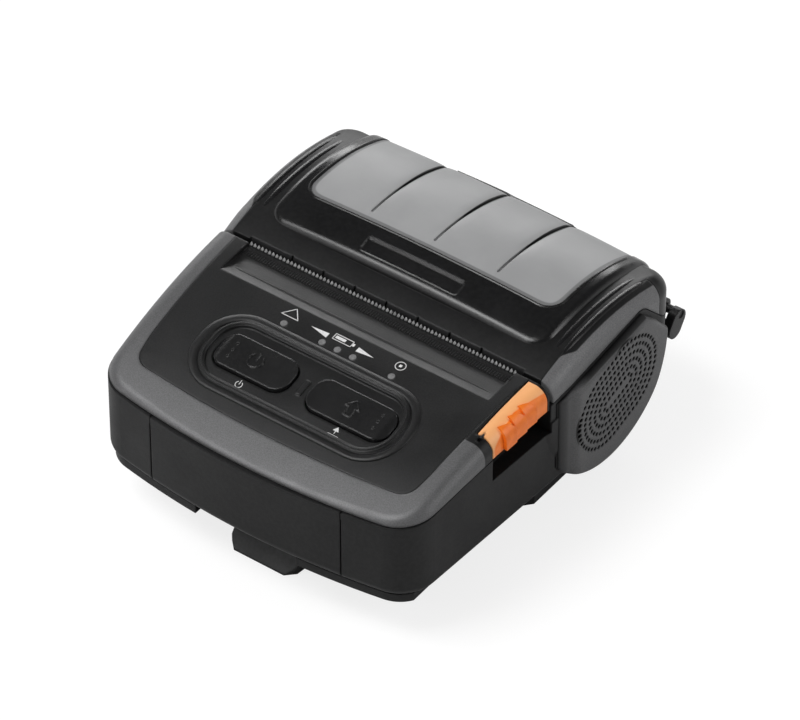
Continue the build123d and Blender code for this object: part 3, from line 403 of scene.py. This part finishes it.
panel_finish, tree, shader = new_finish("panel_finish", gloss=0.38)
shades(tree, shader, (0.0070, 0.0070, 0.0073), (0.0125, 0.0125, 0.0128), 2500.0)
worn(tree, shader, 0.30, 0.40, 70.0)
grain(tree, shader, 6000.0, 0.00003, edge=0.0007)
dress(panel_finish, "control_panel")

panel_top = ray_target(nodes["control_panel"])
run_spacing = 3.0
rim_corners = ((-32.0, 13.2), (32.0, 35.9))
rim_corner_radius = 10.2
rim_thick = 0.0028
rim_flatness = 0.36
rim_sink = 0.00008
foot_corners = ((-29.4, 15.1), (29.4, 33.9))
foot_corner_radius = 8.0
foot_thick = 0.0007
foot_lift = 0.00002

rim_track = along_runs(track(*rim_corners, rim_corner_radius), run_spacing)
rim_path = [laid(panel_top, x, back, -rim_sink) for x, back in rim_track]
shape = bead("key_well_rim", rim_path, rim_thick, rounds=5)
for vertex in shape.verts:
    nearest = min(rim_path, key=lambda place: (place - vertex.co).length_squared)
    vertex.co.z = nearest.z + (vertex.co.z - nearest.z) * rim_flatness
piece_from("key_well_rim", shape, panel_finish, "housing")
foot_track = along_runs(track(*foot_corners, foot_corner_radius), run_spacing)
foot_path = [laid(panel_top, x, back, foot_lift) for x, back in foot_track]
shape = bead("key_well_foot", foot_path, foot_thick)
piece_from("key_well_foot", shape, panel_finish, "housing")

crease_half = 41.0
crease_back = 48.3
crease_thick = 0.0009
crease_sink = 0.00045
crease_rise = 0.00035
crease_steps = 28

crease_path = []
for step in range(crease_steps + 1):
    across = crease_half * (2 * step / crease_steps - 1)
    fade = 1 - (across / crease_half) ** 2
    crease_path.append(laid(panel_top, across, crease_back, crease_rise * math.sqrt(fade) - crease_sink))
shape = bead("paper_crease", crease_path, crease_thick, closed=False)
piece_from("paper_crease", shape, panel_finish, "housing")

ledge_rib_count = 110
ledge_rib_pitch = 0.78
ledge_rib_back = 54.9
ledge_rib_sink = 0.00015
ledge_rib_size = (0.00034, 0.0019, 0.0006)

shape = bmesh.new()
for number in range(ledge_rib_count):
    across = (number - (ledge_rib_count - 1) / 2) * ledge_rib_pitch
    spot = laid(panel_top, across, ledge_rib_back, -ledge_rib_sink)
    made = bmesh.ops.create_cube(shape, size=1.0)
    bmesh.ops.scale(shape, vec=ledge_rib_size, verts=made["verts"])
    bmesh.ops.translate(shape, vec=spot, verts=made["verts"])
piece_from("paper_ledge_ribs", shape, panel_finish, "housing")

# Printed marks: two wedges beside the battery lights and five small plain signs, screen
# printed in white ink over the panel's grain.
ink_lift = 0.00001
ink_film = 0.00004
ink_line_width = 0.00032
ink_line_sink = 0.00008
ink_line_spacing = 0.6


def printed(name, outline):
    """A closed outline in plan (mm) as a thin layer of ink lying on the panel."""
    shape = bmesh.new()
    corners = [shape.verts.new((x, back, 0)) for x, back in outline]
    face = shape.faces.new(corners)
    bmesh.ops.triangulate(shape, faces=[face])
    for vertex in shape.verts:
        vertex.co = laid(panel_top, vertex.co.x, vertex.co.y, ink_lift)
    bmesh.ops.recalc_face_normals(shape, faces=shape.faces)
    top = bmesh.ops.extrude_face_region(shape, geom=shape.faces[:])["geom"]
    raised = [part for part in top if isinstance(part, bmesh.types.BMVert)]
    bmesh.ops.translate(shape, vec=(0, 0, ink_film), verts=raised)
    bmesh.ops.recalc_face_normals(shape, faces=shape.faces)
    piece_from(name, shape, ink_finish, "housing")


def printed_line(name, places, closed=False):
    """A thin printed line along places in plan (mm)."""
    run = along_runs(places, ink_line_spacing, closed)
    path = [laid(panel_top, x, back, -ink_line_sink) for x, back in run]
    shape = bead(name, path, ink_line_width, closed=closed, rounds=1)
    piece_from(name, shape, ink_finish, "housing")


ink_finish, tree, shader = new_finish("ink_finish", gloss=0.2)
shades(tree, shader, (0.62, 0.62, 0.62), (0.74, 0.74, 0.74), 2600.0)
worn(tree, shader, 0.5, 0.65, 400.0)
grain(tree, shader, 5200.0, 0.00001)

printed("left_wedge", [(-10.4, 41.5), (-4.9, 40.3), (-4.9, 41.9)])
printed("right_wedge", [(9.6, 41.1), (4.3, 42.1), (4.3, 40.5)])
printed_line("battery_sign", [(-3.4, 41.0), (2.2, 41.0), (2.2, 42.9), (-3.4, 42.9)], closed=True)
printed("battery_sign_tip", [(2.4, 41.5), (3.0, 41.5), (3.0, 42.4), (2.4, 42.4)])
printed("battery_sign_level", [(-2.9, 41.5), (0.2, 41.5), (0.2, 42.4), (-2.9, 42.4)])
printed_line("warning_sign", [(-19.6, 41.1), (-14.4, 41.1), (-17.0, 44.3)], closed=True)
ring = []
for number in range(19):
    turn = number / 3
    ring.append((17.0 + 1.4 * math.cos(turn), 42.6 + 1.4 * math.sin(turn)))
printed_line("state_sign", ring, closed=True)
printed("state_sign_dot", [(16.6, 42.2), (17.4, 42.2), (17.4, 43.0), (16.6, 43.0)])
printed_line("power_sign", [(-15.2, 17.2), (-15.2, 18.6)])
ring = []
for number in range(-9, 10):
    turn = number * 0.28
    ring.append((-15.2 + 0.95 * math.sin(turn), 17.2 - 0.95 * math.cos(turn)))
printed_line("power_sign_ring", ring)
printed_line("feed_sign", [(13.5, 16.3), (16.7, 16.3)])
printed_line("feed_sign_stem", [(15.1, 16.8), (15.1, 18.0)])
printed("feed_sign_tip", [(14.2, 17.6), (16.0, 17.6), (15.1, 18.9)])

# Keys: two rocker keys of smoother black plastic. The outer end of each slopes down to
# its well, with three small dimples and a raised sign on the flat top.
def merged_copy(node):
    """A bmesh of a CAD node with its loose triangles joined."""
    shape = bmesh.new()
    shape.from_mesh(nodes[node].data)
    bmesh.ops.remove_doubles(shape, verts=shape.verts, dist=1e-6)
    return shape


def cut_along(shape, direction, places):
    """Cut the shape across a direction at these distances in metres."""
    for place in places:
        everything = shape.verts[:] + shape.edges[:] + shape.faces[:]
        bmesh.ops.bisect_plane(shape, geom=everything, plane_co=direction * place, plane_no=direction)
    bmesh.ops.triangulate(shape, faces=shape.faces)


def eased(value, low, high):
    """0 below low, 1 above high, and a smooth step between."""
    share = min(1.0, max(0.0, (value - low) / (high - low)))
    return share * share * (3 - 2 * share)


key_finish, tree, shader = new_finish("key_finish", gloss=0.6)
shades(tree, shader, (0.0065, 0.0065, 0.0068), (0.0095, 0.0095, 0.0098), 1200.0)
worn(tree, shader, 0.20, 0.28, 80.0)
grain(tree, shader, 5200.0, 0.000015, edge=0.0005)

slope_length = 0.0026
slope_drop = 0.0007
key_sink = 0.0004
top_slope = 0.2
dimple_radius = 0.42
dimple_thick = 0.0003
dimple_first = 22.2
dimple_pitch = 2.2
dimple_inset = 4.4
relief_thick = 0.0006
relief_back = 24.4
relief_radius = 2.1

for hand, node, joint_body, middle in (
    (-1, "power_button", "power_key", -15.2),
    (1, "feed_button", "feed_key", 15.1),
):
    low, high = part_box(node)
    outer_end = high.x if hand > 0 else low.x
    shape = merged_copy(node)
    cuts = [outer_end - hand * slope_length * share / 7 for share in range(1, 10)]
    cut_along(shape, Vector((1, 0, 0)), cuts)
    shape.normal_update()
    for vertex in shape.verts:
        reach = hand * (vertex.co.x - outer_end) + slope_length
        if vertex.normal.z > top_slope:
            vertex.co.z -= key_sink + slope_drop * eased(reach, 0.0, slope_length)
    key_piece = piece_from(node + "_shaped", shape, key_finish, joint_body)
    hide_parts(node)
    key_top = ray_target(key_piece)
    for number in range(3):
        back = dimple_first + dimple_pitch * number
        end_across = outer_end * 1000 - hand * dimple_inset
        ring = []
        for step in range(9):
            turn = step * 0.7
            x = end_across + dimple_radius * math.cos(turn)
            ring.append(laid(key_top, x, back + dimple_radius * math.sin(turn), 0.0))
        shape = bead("dimple", ring, dimple_thick)
        piece_from(f"{node}_dimple_{number}", shape, key_finish, joint_body)
    if hand < 0:
        arc = []
        for step in range(-9, 10):
            turn = step * 0.27
            x = middle + relief_radius * math.sin(turn)
            arc.append(laid(key_top, x, relief_back - relief_radius * math.cos(turn), 0.0))
        stroke = [laid(key_top, middle, relief_back + 0.35 * step, 0.0) for step in range(8)]
        paths = {"power_relief_ring": arc, "power_relief_bar": stroke}
    else:
        arrow = [
            (-2.2, 24.6), (0.0, 27.0), (2.2, 24.6), (1.0, 24.6),
            (1.0, 21.9), (-1.0, 21.9), (-1.0, 24.6), (-2.2, 24.6),
        ]
        run = along_runs(arrow, 0.7, closed=False)
        paths = {"feed_relief_arrow": [laid(key_top, middle + x, back, 0.0) for x, back in run]}
    for name, path in paths.items():
        shape = bead(name, path, relief_thick, closed=False)
        piece_from(name, shape, key_finish, joint_body)

# Status lenses: five small light pipes of grey, slightly cloudy plastic, which reach
# from the panel down to the lights on the board.
lens_finish, tree, shader = new_finish("lens_finish", gloss=0.3)
shades(tree, shader, (0.150, 0.150, 0.152), (0.200, 0.200, 0.202), 1500.0)
worn(tree, shader, 0.25, 0.35, 200.0)
grain(tree, shader, 3000.0, 0.00001, edge=0.0002)
dress(lens_finish, "status_lenses")

# Pins, screws and the tear bar: bright steel with fine rolling marks. The blade's teeth
# shine, and below them the blade is painted near black as painted shade where it sits in the slot.
steel_finish, tree, shader = new_finish("steel_finish", metal=1.0)
shades(tree, shader, (0.55, 0.55, 0.55), (0.72, 0.72, 0.72), 900.0)
worn(tree, shader, 0.26, 0.40, 300.0)
grain(tree, shader, 4200.0, 0.00001, edge=0.0001)
dress(steel_finish, "platen_shaft", "hinge_pin", "case_screws", "head_spring")
blade_finish, tree, shader = new_finish("blade_finish", gloss=0.5, metal=0.5)
shades(tree, shader, (0.62, 0.62, 0.62), (0.80, 0.80, 0.80), 900.0)
worn(tree, shader, 0.34, 0.46, 300.0)
grain(tree, shader, 4200.0, 0.00001, edge=0.0001)
across, along, upward = coordinates(tree)
blade_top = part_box("tear_bar")[1].z
teeth = edge_between(tree, upward, blade_top - 0.0011, blade_top - 0.0006)
# Painted shade: below its teeth the blade is painted near black, for the shade where it sits in the
# slot.
paint_over(tree, shader, reckon(tree, "SUBTRACT", 1.0, teeth), (0.05, 0.05, 0.05))
dress(blade_finish, "tear_bar")

# Cover: the black roll cover under its raised hood. The hood's top is crowned a little
# across the printer, which the part's plain surface leaves out.
hood_crown = 0.0014
hood_half = 0.0444
hood_cuts = [step * 0.003 for step in range(-14, 15)]
hood_floor = 0.040
pad_back = 0.05528
pad_drop = 0.0016


def crowned(shape):
    """Lower the shape towards the printer's sides, as the hood's crown does."""
    for vertex in shape.verts:
        vertex.co.z -= hood_crown * (vertex.co.x / hood_half) ** 2


cover_finish, tree, shader = new_finish("cover_finish", gloss=0.50)
shades(tree, shader, (0.0050, 0.0050, 0.0053), (0.0080, 0.0080, 0.0083), 900.0)
worn(tree, shader, 0.16, 0.24, 70.0)
grain(tree, shader, 5200.0, 0.000012, edge=0.0010)
shell_finish, tree, shader = new_finish("shell_finish", gloss=0.30)
shades(tree, shader, (0.0050, 0.0050, 0.0053), (0.0080, 0.0080, 0.0083), 900.0)
worn(tree, shader, 0.32, 0.40, 70.0)
grain(tree, shader, 5200.0, 0.000012, edge=0.0006)
dress(shell_finish, "cover_shell")

shape = merged_copy("cover_hood")
cut_along(shape, Vector((1, 0, 0)), hood_cuts)
crowned(shape)
for vertex in shape.verts:
    if vertex.co.y > pad_back and vertex.co.z > hood_floor:
        vertex.co.z -= pad_drop
hood = piece_from("crowned_hood", shape, cover_finish, "cover")
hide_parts("cover_hood")

cover_top = ray_target(nodes["cover_shell"], nodes["cover_trim_left"], nodes["cover_trim_right"])
rib_rows = ((46.4, 0.0034), (48.9, 0.0026))
rib_start = 65.0
rib_full = (76.0, 98.0)
rib_end = 106.0
rib_step = 1.25
rib_proud = 0.00032
rib_sink = 0.00006

for number, (rib_x, rib_thick) in enumerate(rib_rows):
    for hand in (-1, 1):
        path = []
        for step in range(34):
            back = rib_start + rib_step * step
            swell = eased(back, rib_start, rib_full[0]) * (1 - eased(back, rib_full[1], rib_end))
            depth = rib_thick / 2 + rib_sink
            path.append(laid(cover_top, hand * rib_x, back, rib_proud * swell - depth))
        name = f"cover_rib_{number}_{'right' if hand > 0 else 'left'}"
        shape = bead(name, path, rib_thick, closed=False, rounds=5)
        piece_from(name, shape, cover_finish, "cover")

# Window: a pane of smoke grey plastic bent over the roll, polished outside and cloudy
# within. Three creases deepen towards the rear, their floors painted black as painted shade
# that widens towards the rear. A band along the pane's edge is painted darker as painted
# shade, and a black bead seals its edge.
pane_front = along_at(77.5)
pane_half = 0.0396
pane_corner = 0.006
groove_pitch = 0.020
groove_middles = (-groove_pitch, 0.0, groove_pitch)
groove_start = along_at(80.4)
groove_run = 0.018
groove_depth = 0.0006
groove_spread = 0.0014
crease_shade_flare = 0.030
crease_shade_widest = 0.00075

window_finish, tree, shader = new_finish("window_finish", gloss=0.30)
shades(tree, shader, (0.280, 0.282, 0.285), (0.305, 0.307, 0.310), 60.0)
worn(tree, shader, 0.34, 0.44, 50.0)
grain(tree, shader, 5200.0, 0.00001, edge=0.0005)
across, along, upward = coordinates(tree)
# Painted shade: the creases' floors are painted black, in a band that widens towards the rear.
from_crease = reckon(tree, "PINGPONG", across, groove_pitch / 2)
crease_length = reckon(tree, "SUBTRACT", along, groove_start)
crease_shade_width = reckon(tree, "MULTIPLY", crease_length, crease_shade_flare)
crease_shade_width = reckon(tree, "MINIMUM", crease_shade_width, crease_shade_widest)
inside_crease_shade = reckon(tree, "SUBTRACT", crease_shade_width, from_crease)
paint_over(tree, shader, edge_between(tree, inside_crease_shade, -0.0001, 0.0001), (0.006, 0.006, 0.006))
side_room = reckon(tree, "SUBTRACT", pane_half, reckon(tree, "ABSOLUTE", across))
front_room = reckon(tree, "SUBTRACT", along, pane_front)
edge_room = reckon(tree, "SMOOTH_MIN", side_room, front_room, pane_corner)
# Painted shade: a band just inside the pane's edge, along its lower lip, is painted darker.
lip_shade = reckon(tree, "SUBTRACT", 1.0, edge_between(tree, edge_room, 0.0009, 0.0013))
paint_over(tree, shader, reckon(tree, "MULTIPLY", lip_shade, 0.55), (0.05, 0.05, 0.051))
rim_dark = reckon(tree, "SUBTRACT", 1.0, edge_between(tree, edge_room, 0.0000, 0.0002))
paint_over(tree, shader, rim_dark, (0.006, 0.006, 0.006))

shape = merged_copy("cover_window")
groove_offsets = (-5.0, -3.0, -1.8, -1.0, 0.0, 1.0, 1.8, 3.0, 5.0)
groove_cuts = [middle + offset / 1000 for middle in groove_middles for offset in groove_offsets]
cut_along(shape, Vector((1, 0, 0)), sorted(hood_cuts + groove_cuts))
cut_along(shape, Vector((0, 1, 0)), [groove_start + step * 0.003 for step in range(11)])
crowned(shape)
for vertex in shape.verts:
    nearest = min(abs(vertex.co.x - middle) for middle in groove_middles)
    depth = groove_depth * eased(vertex.co.y, groove_start, groove_start + groove_run)
    vertex.co.z -= depth * math.exp(-nearest / groove_spread)
pane = piece_from("roll_window", shape, window_finish, "cover")
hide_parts("cover_window")

window_surface = ray_target(hood, pane)
seal_half = 40.0
seal_rear = 109.0
seal_corner = (82.0, 5.0)
seal_thick = 0.0010
seal_sink = 0.00022

seal_places = [(-seal_half, seal_rear), (-seal_half, seal_corner[0])]
for step in range(9):
    turn = math.radians(180 + 90 * step / 8)
    x = -seal_half + seal_corner[1] + seal_corner[1] * math.cos(turn)
    seal_places.append((x, seal_corner[0] + seal_corner[1] * math.sin(turn)))
seal_places += [(-across, back) for across, back in reversed(seal_places)]
seal_run = along_runs(seal_places, 0.8, closed=False)
seal_path = [laid(window_surface, x, back, -seal_sink) for x, back in seal_run]
seal_finish, tree, shader = new_finish("seal_finish", gloss=0.5)
shades(tree, shader, (0.005, 0.005, 0.005), (0.008, 0.008, 0.008), 900.0)
worn(tree, shader, 0.24, 0.32, 300.0)
grain(tree, shader, 5200.0, 0.00001)
shape = bead("window_seal", seal_path, seal_thick, closed=False, rounds=3)
piece_from("window_seal", shape, seal_finish, "cover")

# Cover bands: the graphite strips down the cover's sides. The black moulding laps over
# each in a soft wave behind its wide front end.
band_front_edge = 0.0490
band_rear_edge = 0.0512
band_wave = (along_at(66.0), along_at(72.0))

band_finish, tree, shader = new_finish("band_finish", gloss=0.3, metal=0.2)
shades(tree, shader, (0.115, 0.115, 0.118), (0.165, 0.165, 0.168), 3600.0)
worn(tree, shader, 0.38, 0.48, 90.0)
grain(tree, shader, 7000.0, 0.000025, edge=0.0010)
across, along, upward = coordinates(tree)
wave = edge_between(tree, along, *band_wave)
limit = reckon(tree, "MULTIPLY_ADD", wave, band_rear_edge - band_front_edge, band_front_edge)
short = reckon(tree, "SUBTRACT", limit, reckon(tree, "ABSOLUTE", across))
paint_over(tree, shader, edge_between(tree, short, 0.0, 0.0003), bare_black)
dress(band_finish, "cover_trim_left", "cover_trim_right")

# Cheeks: graphite caps over the drum's ends, painted plastic pressed onto the case. Each
# swells out of the case behind a shallow upright groove, and rings of blind holes fill
# an oval on its flat face. The holes' insides, the cap's edge wall and its front strip are
# painted dark as painted shade. The left cap is the right one mirrored.
case_side = 0.0532
cheek_face = 0.0556
cheek_recess = 0.0003
cheek_front = 60.2
hole_radius = 0.00066
hole_pitch = 1.75
ring_pitch = 2.15
ring_count = 6
outer_ring = 12.5
straight_half = 4.4
oval_centre = (84.0, 15.5)
oval_tilt = math.radians(16.0)
oval_reach = (0.0134, 0.0137)
hole_depth = 0.0012
hole_shade_black = (0.003, 0.003, 0.003)
groove_back = 4.8
groove_width = 1.2
first_rise = 0.55
second_rise = 0.45
front_tuck = 0.00012
rear_tuck = 0.0014


def cheek_swell(back):
    """How much of the cheek's thickness stands at this distance from its front edge."""
    rise = first_rise * eased(back, cheek_front, cheek_front + 4.0)
    groove = 0.16 * math.exp(-(((back - cheek_front - groove_back) / groove_width) ** 2))
    return rise + second_rise * eased(back, cheek_front + 3.6, cheek_front + 8.0) - groove


def ring_places(radius):
    """Evenly spaced places round one stadium-shaped ring, from the tip of its front end."""
    total = 2 * math.pi * radius + 4 * straight_half
    count = round(total / hole_pitch)
    quarter = math.pi * radius / 2
    places = []
    for number in range(count):
        run = total * number / count
        side = 1
        if run > total / 2:
            run = total - run
            side = -1
        if run < quarter:
            turn = run / radius
            place = (-straight_half - radius * math.cos(turn), radius * math.sin(turn))
        elif run < quarter + 2 * straight_half:
            place = (run - quarter - straight_half, radius)
        else:
            turn = (run - quarter - 2 * straight_half) / radius
            place = (straight_half + radius * math.sin(turn), radius * math.cos(turn))
        places.append((place[0], side * place[1]))
    return places


cheek_finish, tree, shader = new_finish("cheek_finish", gloss=0.28, metal=0.15)
shades(tree, shader, (0.080, 0.080, 0.082), (0.112, 0.112, 0.114), 3000.0)
worn(tree, shader, 0.40, 0.50, 90.0)
grain(tree, shader, 7000.0, 0.000025, edge=0.0008)
across, along, upward = coordinates(tree)
sunk = reckon(tree, "SUBTRACT", cheek_face - 0.0001, reckon(tree, "ABSOLUTE", across))
past_centre = reckon(tree, "SUBTRACT", along, along_at(oval_centre[0]))
over_centre = reckon(tree, "SUBTRACT", upward, (oval_centre[1] + housing_lift) / 1000)
rising = reckon(tree, "MULTIPLY", over_centre, math.sin(oval_tilt))
lengthwise = reckon(tree, "MULTIPLY_ADD", past_centre, math.cos(oval_tilt), rising)
falling = reckon(tree, "MULTIPLY", past_centre, -math.sin(oval_tilt))
sideways = reckon(tree, "MULTIPLY_ADD", over_centre, math.cos(oval_tilt), falling)
past_straight = reckon(tree, "SUBTRACT", reckon(tree, "ABSOLUTE", lengthwise), straight_half / 1000)
past_straight = reckon(tree, "MAXIMUM", past_straight, 0.0)
sideways_squared = reckon(tree, "MULTIPLY", sideways, sideways)
squared = reckon(tree, "MULTIPLY_ADD", past_straight, past_straight, sideways_squared)
from_oval = reckon(tree, "SQRT", squared)
in_oval = reckon(tree, "SUBTRACT", 1.0, edge_between(tree, from_oval, *oval_reach))
# Painted shade: the cap's edge wall down by the case, behind the swell, is painted dark grey.
behind_swell = edge_between(tree, along, 0.0055, 0.0125)
wall_shade = reckon(tree, "MULTIPLY", edge_between(tree, sunk, 0.0003, 0.0006), behind_swell)
paint_over(tree, shader, wall_shade, (0.022, 0.022, 0.0223))
# Painted shade: the insides of the blind holes in the oval are painted black.
holes = reckon(tree, "MULTIPLY", edge_between(tree, sunk, 0.0, 0.0002), in_oval)
paint_over(tree, shader, holes, hole_shade_black)
# Painted shade: the cap fades to near black towards its front edge, where it tucks into the case.
front_shade = reckon(tree, "SUBTRACT", 1.0, edge_between(tree, along, along_at(60.0), along_at(68.0)))
paint_over(tree, shader, reckon(tree, "MULTIPLY", front_shade, 0.92), (0.010, 0.010, 0.0103))

shape = merged_copy("cheek_right")
for vertex in shape.verts:
    if abs(vertex.co.x - (cheek_face - cheek_recess)) < 0.00002:
        vertex.co.x = cheek_face
bmesh.ops.remove_doubles(shape, verts=shape.verts, dist=0.00001)
bmesh.ops.dissolve_limit(shape, angle_limit=0.02, verts=shape.verts, edges=shape.edges)
cuts = [along_at(cheek_front + 0.6 * step) for step in range(1, 16)]
cuts += [along_at(101.0 + step) for step in range(8)]
cut_along(shape, Vector((0, 1, 0)), cuts)
for vertex in shape.verts:
    proud = vertex.co.x - case_side
    back = vertex.co.y * 1000 + seam_back
    buried = front_tuck * (1 - eased(back, cheek_front, cheek_front + 1.4))
    vertex.co.x = case_side + proud * cheek_swell(back) - buried
    vertex.co.y -= rear_tuck * eased(back, 100.5, 109.0)
cap = piece_from("cap_right", shape, cheek_finish, "housing")
drills = bmesh.new()
for ring_number in range(ring_count):
    for run, off in ring_places(outer_ring - ring_pitch * ring_number):
        back = oval_centre[0] + run * math.cos(oval_tilt) - off * math.sin(oval_tilt)
        up = oval_centre[1] + run * math.sin(oval_tilt) + off * math.cos(oval_tilt)
        spot = Vector((cheek_face, along_at(back), (up + housing_lift) / 1000))
        turned = Matrix.Translation(spot) @ Matrix.Rotation(math.pi / 2, 4, "Y")
        bmesh.ops.create_cone(
            drills, cap_ends=True, segments=10, radius1=hole_radius, radius2=hole_radius,
            depth=2 * hole_depth, matrix=turned,
        )
drill_data = bpy.data.meshes.new("drills")
drills.to_mesh(drill_data)
drills.free()
drill = bpy.data.objects.new("drills", drill_data)
bpy.context.scene.collection.objects.link(drill)
cutting = cap.modifiers.new("holes", "BOOLEAN")
cutting.operation = "DIFFERENCE"
cutting.solver = "EXACT"
cutting.object = drill
bpy.context.view_layer.update()
finished = cap.evaluated_get(bpy.context.evaluated_depsgraph_get())
drilled = bpy.data.meshes.new_from_object(finished)
cap.modifiers.remove(cutting)
bpy.data.objects.remove(drill)
cap.data = drilled
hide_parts("cheek_right")

mirrored = bmesh.new()
mirrored.from_mesh(drilled)
for vertex in mirrored.verts:
    vertex.co.x = -vertex.co.x
bmesh.ops.reverse_faces(mirrored, faces=mirrored.faces)
left_cap = piece_from("cap_left", mirrored, cheek_finish, "housing")
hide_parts("cheek_left")

# Release lever: orange plastic with a satin face. Three arrow-shaped steps rise from its
# outer facet for the thumb, and the flat facet above them is painted paler as painted sheen.
ridge_across = 0.0500
ridge_slope = 0.16
step_count = 3
step_pitch = 0.0043
step_first = 0.0060
step_proud = 0.00055
step_ramp = 0.00012
step_wall = 0.0014

lever_finish, tree, shader = new_finish("lever_finish", gloss=0.4)
shades(tree, shader, (0.84, 0.185, 0.012), (0.92, 0.220, 0.018), 600.0)
worn(tree, shader, 0.30, 0.40, 150.0)
grain(tree, shader, 5200.0, 0.000015, edge=0.0006)
across, along, upward = coordinates(tree)
lever_low, lever_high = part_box("release_lever")
lever_middle = (lever_low.y + lever_high.y) / 2
from_middle = reckon(tree, "ABSOLUTE", reckon(tree, "SUBTRACT", along, lever_middle))
ridge = reckon(tree, "MULTIPLY_ADD", from_middle, ridge_slope, ridge_across)
# Painted sheen: the flat top facet above the ridge is painted paler, for the light it catches.
facet_sheen = edge_between(tree, reckon(tree, "SUBTRACT", ridge, across), -0.0001, 0.0002)
paint_over(tree, shader, facet_sheen, (0.88, 0.42, 0.17))
dress(lever_finish, "release_lever")

step_finish, tree, shader = new_finish("step_finish", gloss=0.4)
shades(tree, shader, (0.84, 0.165, 0.008), (0.92, 0.200, 0.012), 600.0)
worn(tree, shader, 0.30, 0.40, 150.0)
grain(tree, shader, 5200.0, 0.000015, edge=0.0003)
lever_side = ray_target(nodes["release_lever"])
lever_axis = Vector((lever_low.x + 0.0010, 0, lever_high.z - 0.0075))
plain_y = lever_high.y - 0.0012


def lever_crest(along):
    """The height of the lever's plain inner strip at this place along it."""
    above = Vector((lever_low.x + 0.0012, along, 0.1))
    return lever_side.ray_cast(above, Vector((0, 0, -1)))[0].z


for number in range(step_count):
    middle = lever_low.y + step_first + step_pitch * number
    shape = bmesh.new()
    arrow = ((-1.9, 14.0), (1.9, 14.0), (2.3, 50.0), (0.9, 66.0), (-1.7, 76.0), (-1.9, 60.0))
    corners = [shape.verts.new((x, angle, 0)) for x, angle in arrow]
    shape.faces.new(corners)
    bmesh.ops.triangulate(shape, faces=shape.faces)
    bmesh.ops.subdivide_edges(shape, edges=shape.edges, cuts=7, use_grid_fill=True)
    for vertex in shape.verts:
        turn = math.radians(vertex.co.y)
        aim = Vector((math.cos(turn), 0, math.sin(turn)))
        start = Vector((lever_axis.x, plain_y, lever_axis.z)) + aim * 0.02
        found = lever_side.ray_cast(start, -aim)[0]
        here = middle + vertex.co.x / 1000
        ramp = step_proud + step_ramp * vertex.co.x
        lift = lever_crest(here) - lever_crest(plain_y)
        vertex.co = Vector((found.x, here, found.z + lift)) + aim * ramp
    bmesh.ops.recalc_face_normals(shape, faces=shape.faces)
    bmesh.ops.solidify(shape, geom=shape.faces[:], thickness=step_wall)
    bmesh.ops.recalc_face_normals(shape, faces=shape.faces)
    piece_from(f"lever_step_{number}", shape, step_finish, "lever", sharp=0.7)

# Print head, motor can and shields: bare aluminium and plated steel, held on the inner
# frame and the board.
head_finish, tree, shader = new_finish("head_finish", metal=1.0)
shades(tree, shader, (0.52, 0.52, 0.53), (0.64, 0.64, 0.65), 500.0)
worn(tree, shader, 0.30, 0.45, 200.0)
grain(tree, shader, 2600.0, 0.00001, edge=0.0002)
dress(head_finish, "print_head", "stepper_motor", "radio_module", "usb_socket")

# Gears and bearings: white acetal wheels, with a turned brass pinion pressed on the
# motor's axle. The battery's contacts are of the same brass.
gear_finish, tree, shader = new_finish("gear_finish")
shades(tree, shader, (0.60, 0.59, 0.55), (0.68, 0.66, 0.62), 300.0)
worn(tree, shader, 0.35, 0.5, 200.0)
grain(tree, shader, 3000.0, 0.00001, edge=0.0001)
dress(gear_finish, "reduction_gear", "platen_gear", "platen_bushings")
brass_finish, tree, shader = new_finish("brass_finish", metal=1.0)
shades(tree, shader, (0.66, 0.47, 0.18), (0.76, 0.58, 0.26), 500.0)
worn(tree, shader, 0.25, 0.4, 300.0)
grain(tree, shader, 3000.0, 0.00001, edge=0.0001)
dress(brass_finish, "motor_pinion", "battery_contacts")

# Platen roller: black rubber moulded on a steel shaft and ground to size, so its face
# is dull and even.
rubber_finish, tree, shader = new_finish("rubber_finish")
shades(tree, shader, (0.016, 0.016, 0.016), (0.026, 0.026, 0.026), 900.0)
worn(tree, shader, 0.6, 0.75, 200.0)
grain(tree, shader, 4000.0, 0.00004, edge=0.0002)
dress(rubber_finish, "platen_roller")

# Main board: green solder mask over a woven glass core, held by posts above the
# battery's bay.
board_finish, tree, shader = new_finish("board_finish", gloss=0.5)
shades(tree, shader, (0.010, 0.085, 0.030), (0.016, 0.125, 0.046), 700.0)
worn(tree, shader, 0.3, 0.45, 200.0)
grain(tree, shader, 2200.0, 0.00002)
dress(board_finish, "main_board")

# Inner black mouldings: the roll's bucket, the frame, sockets, switches and the
# battery's case, all of plain grained plastic.
inner_finish, tree, shader = new_finish("inner_finish")
shades(tree, shader, (0.012, 0.012, 0.012), (0.020, 0.020, 0.021), 900.0)
worn(tree, shader, 0.45, 0.6, 90.0)
grain(tree, shader, 4200.0, 0.00003, edge=0.0003)
dress(
    inner_finish, "roll_bucket", "paper_sensor", "mechanism_frame", "key_switches",
    "charge_socket", "cover_switch", "battery_pack",
)

# Belt clip: glass-filled black plastic that turns on a coated steel bar behind the
# case. The lever's pin has the same finish.
clip_finish, tree, shader = new_finish("clip_finish", gloss=0.35)
shades(tree, shader, (0.008, 0.008, 0.008), (0.014, 0.014, 0.015), 1100.0)
worn(tree, shader, 0.36, 0.46, 120.0)
grain(tree, shader, 4200.0, 0.00003, edge=0.0006)
dress(clip_finish, "belt_clip", "clip_pin", "lever_pin")
